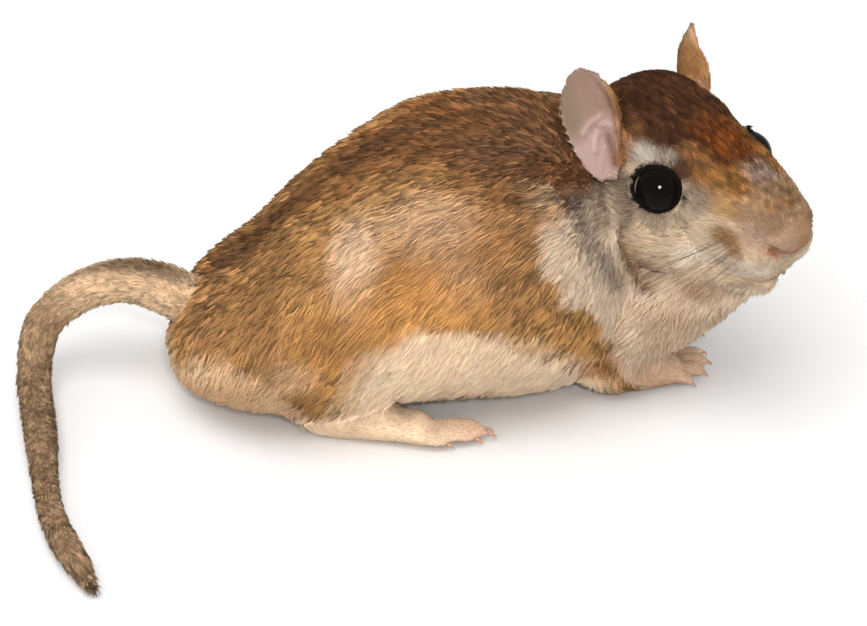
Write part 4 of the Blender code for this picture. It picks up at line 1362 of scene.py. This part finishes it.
# Each whisker is a tapering tube along start + way * s * reach + bow * s^2 * reach.
def makeWhiskers():
    darkGrids, paleGrids = [], []
    dice = np.random.default_rng(5)
    first, back, down = (np.array(whiskers[key]) for key in ("root", "back", "down"))
    for which in (-1, 1):
        for row in range(whiskers["rows"]):
            for k in range(whiskers["perRow"]):
                root = first + back * k + down * row
                found = skinTree.find((inHead(root * (1, which, 1))).tolist())[1]
                start = skinPoints[found] - skinNormals[found] * 0.2
                way = np.array(whiskers["way"]) + (-0.02 * k, 0.0, 0.22 - 0.1 * row)
                way = way + dice.normal(0, whiskers["scatter"], 3)
                way = unit(way) * (1, which, 1) @ axes
                reach = whiskers["short"] + (whiskers["long"] - whiskers["short"]) * (k / 3) ** 0.8
                reach = reach * dice.uniform(0.75, 1.05)
                s = np.linspace(0, 1, 14)[:, None]
                bow = np.array(whiskers["bow"]) * (1, which, 1) @ axes
                path = start + way * s * reach + bow * s**2 * reach
                taper = whiskers["radius"] * (1.04 - s[:, 0]) ** 0.8
                grid = tube(path, taper, taper, 4, (0.1, 0.2, 1))
                (paleGrids if dice.random() < whiskers["paleShare"] else darkGrids).append(grid)
    for name, grids in (("Dark", darkGrids), ("Pale", paleGrids)):
        material = newMaterial("whiskers" + name, 0.45, 0.3, colour=tuple(whiskers[name.lower()]))[0]
        finishPiece(newPiece("whiskers" + name, grids), material)


makeEyes()
makeClaws()
makeWhiskers()
print("eyes, claws and whiskers made")

# Lamps: place in metres, width, power. Only eyeGlint shows in the eyes, and it lights nothing.
lamps = {
    "topSoft": ((-0.1, -0.25, 0.9), 0.7, 4.5), "cameraSide": ((0.1, -0.75, 0.66), 0.07, 2.2),
    "leftFill": ((-0.8, -0.3, 0.35), 0.5, 1.2), "eyeGlint": ((0.1, -0.75, 0.66), 0.24, 22.0),
}


# Stage: a pale floor and soft light.
def setStage():
    floorMaterial = newMaterial("paleFloor", 0.9, 0.2, colour=(0.86, 0.86, 0.86))[0]
    mesh = bpy.data.meshes.new("floor")
    mesh.from_pydata([(-6, -6, 0), (6, -6, 0), (6, 6, 0), (-6, 6, 0)], [], [(0, 1, 2, 3)])
    mesh.materials.append(floorMaterial)
    floor = addObject("floor", mesh)
    world = bpy.data.worlds.new("studio")
    world.use_nodes = True
    sky = world.node_tree.nodes["Background"]
    sky.inputs["Color"].default_value = (1, 1, 1, 1)
    sky.inputs["Strength"].default_value = 0.7
    bpy.context.scene.world = world
    for name, (place, size, power) in lamps.items():
        lamp = bpy.data.lights.new(name, "AREA")
        lamp.size = size
        lamp.energy = power
        lamp.shape = "DISK"
        holder = addObject(name, lamp)
        holder.location = place
        holder.visible_glossy = name == "eyeGlint"
        holder.visible_diffuse = name != "eyeGlint"
        towards = Vector((0.01, 0.0, 0.02)) - Vector(place)
        holder.rotation_euler = towards.to_track_quat("-Z", "Y").to_euler()


# The photograph's view: a place in the middle of it, its height in degrees, how far off it is, and its focal
# length in pixels of a picture photoWidth across.
view = {"target": (0, 0, 10.7), "elevation": 36.0, "distance": 540.0, "focal": 3240.0, "photoWidth": 867.0}


def setCamera():
    up = np.radians(view["elevation"])
    back = np.array([0, -np.cos(up), np.sin(up)])
    target = (np.array(view["target"]) - bodyMiddle) * mm
    place = target + back * view["distance"] * mm
    data = bpy.data.cameras.new("camera")
    data.sensor_width = 36.0
    data.lens = 36.0 * view["focal"] / view["photoWidth"]
    data.clip_start = 0.01
    camera = addObject("camera", data)
    camera.location = place
    camera.rotation_euler = Vector(-back).to_track_quat("-Z", "Y").to_euler()
    bpy.context.scene.camera = camera


setStage()
setCamera()
bpy.context.scene.view_settings.view_transform = "Standard"
bpy.context.view_layer.update()
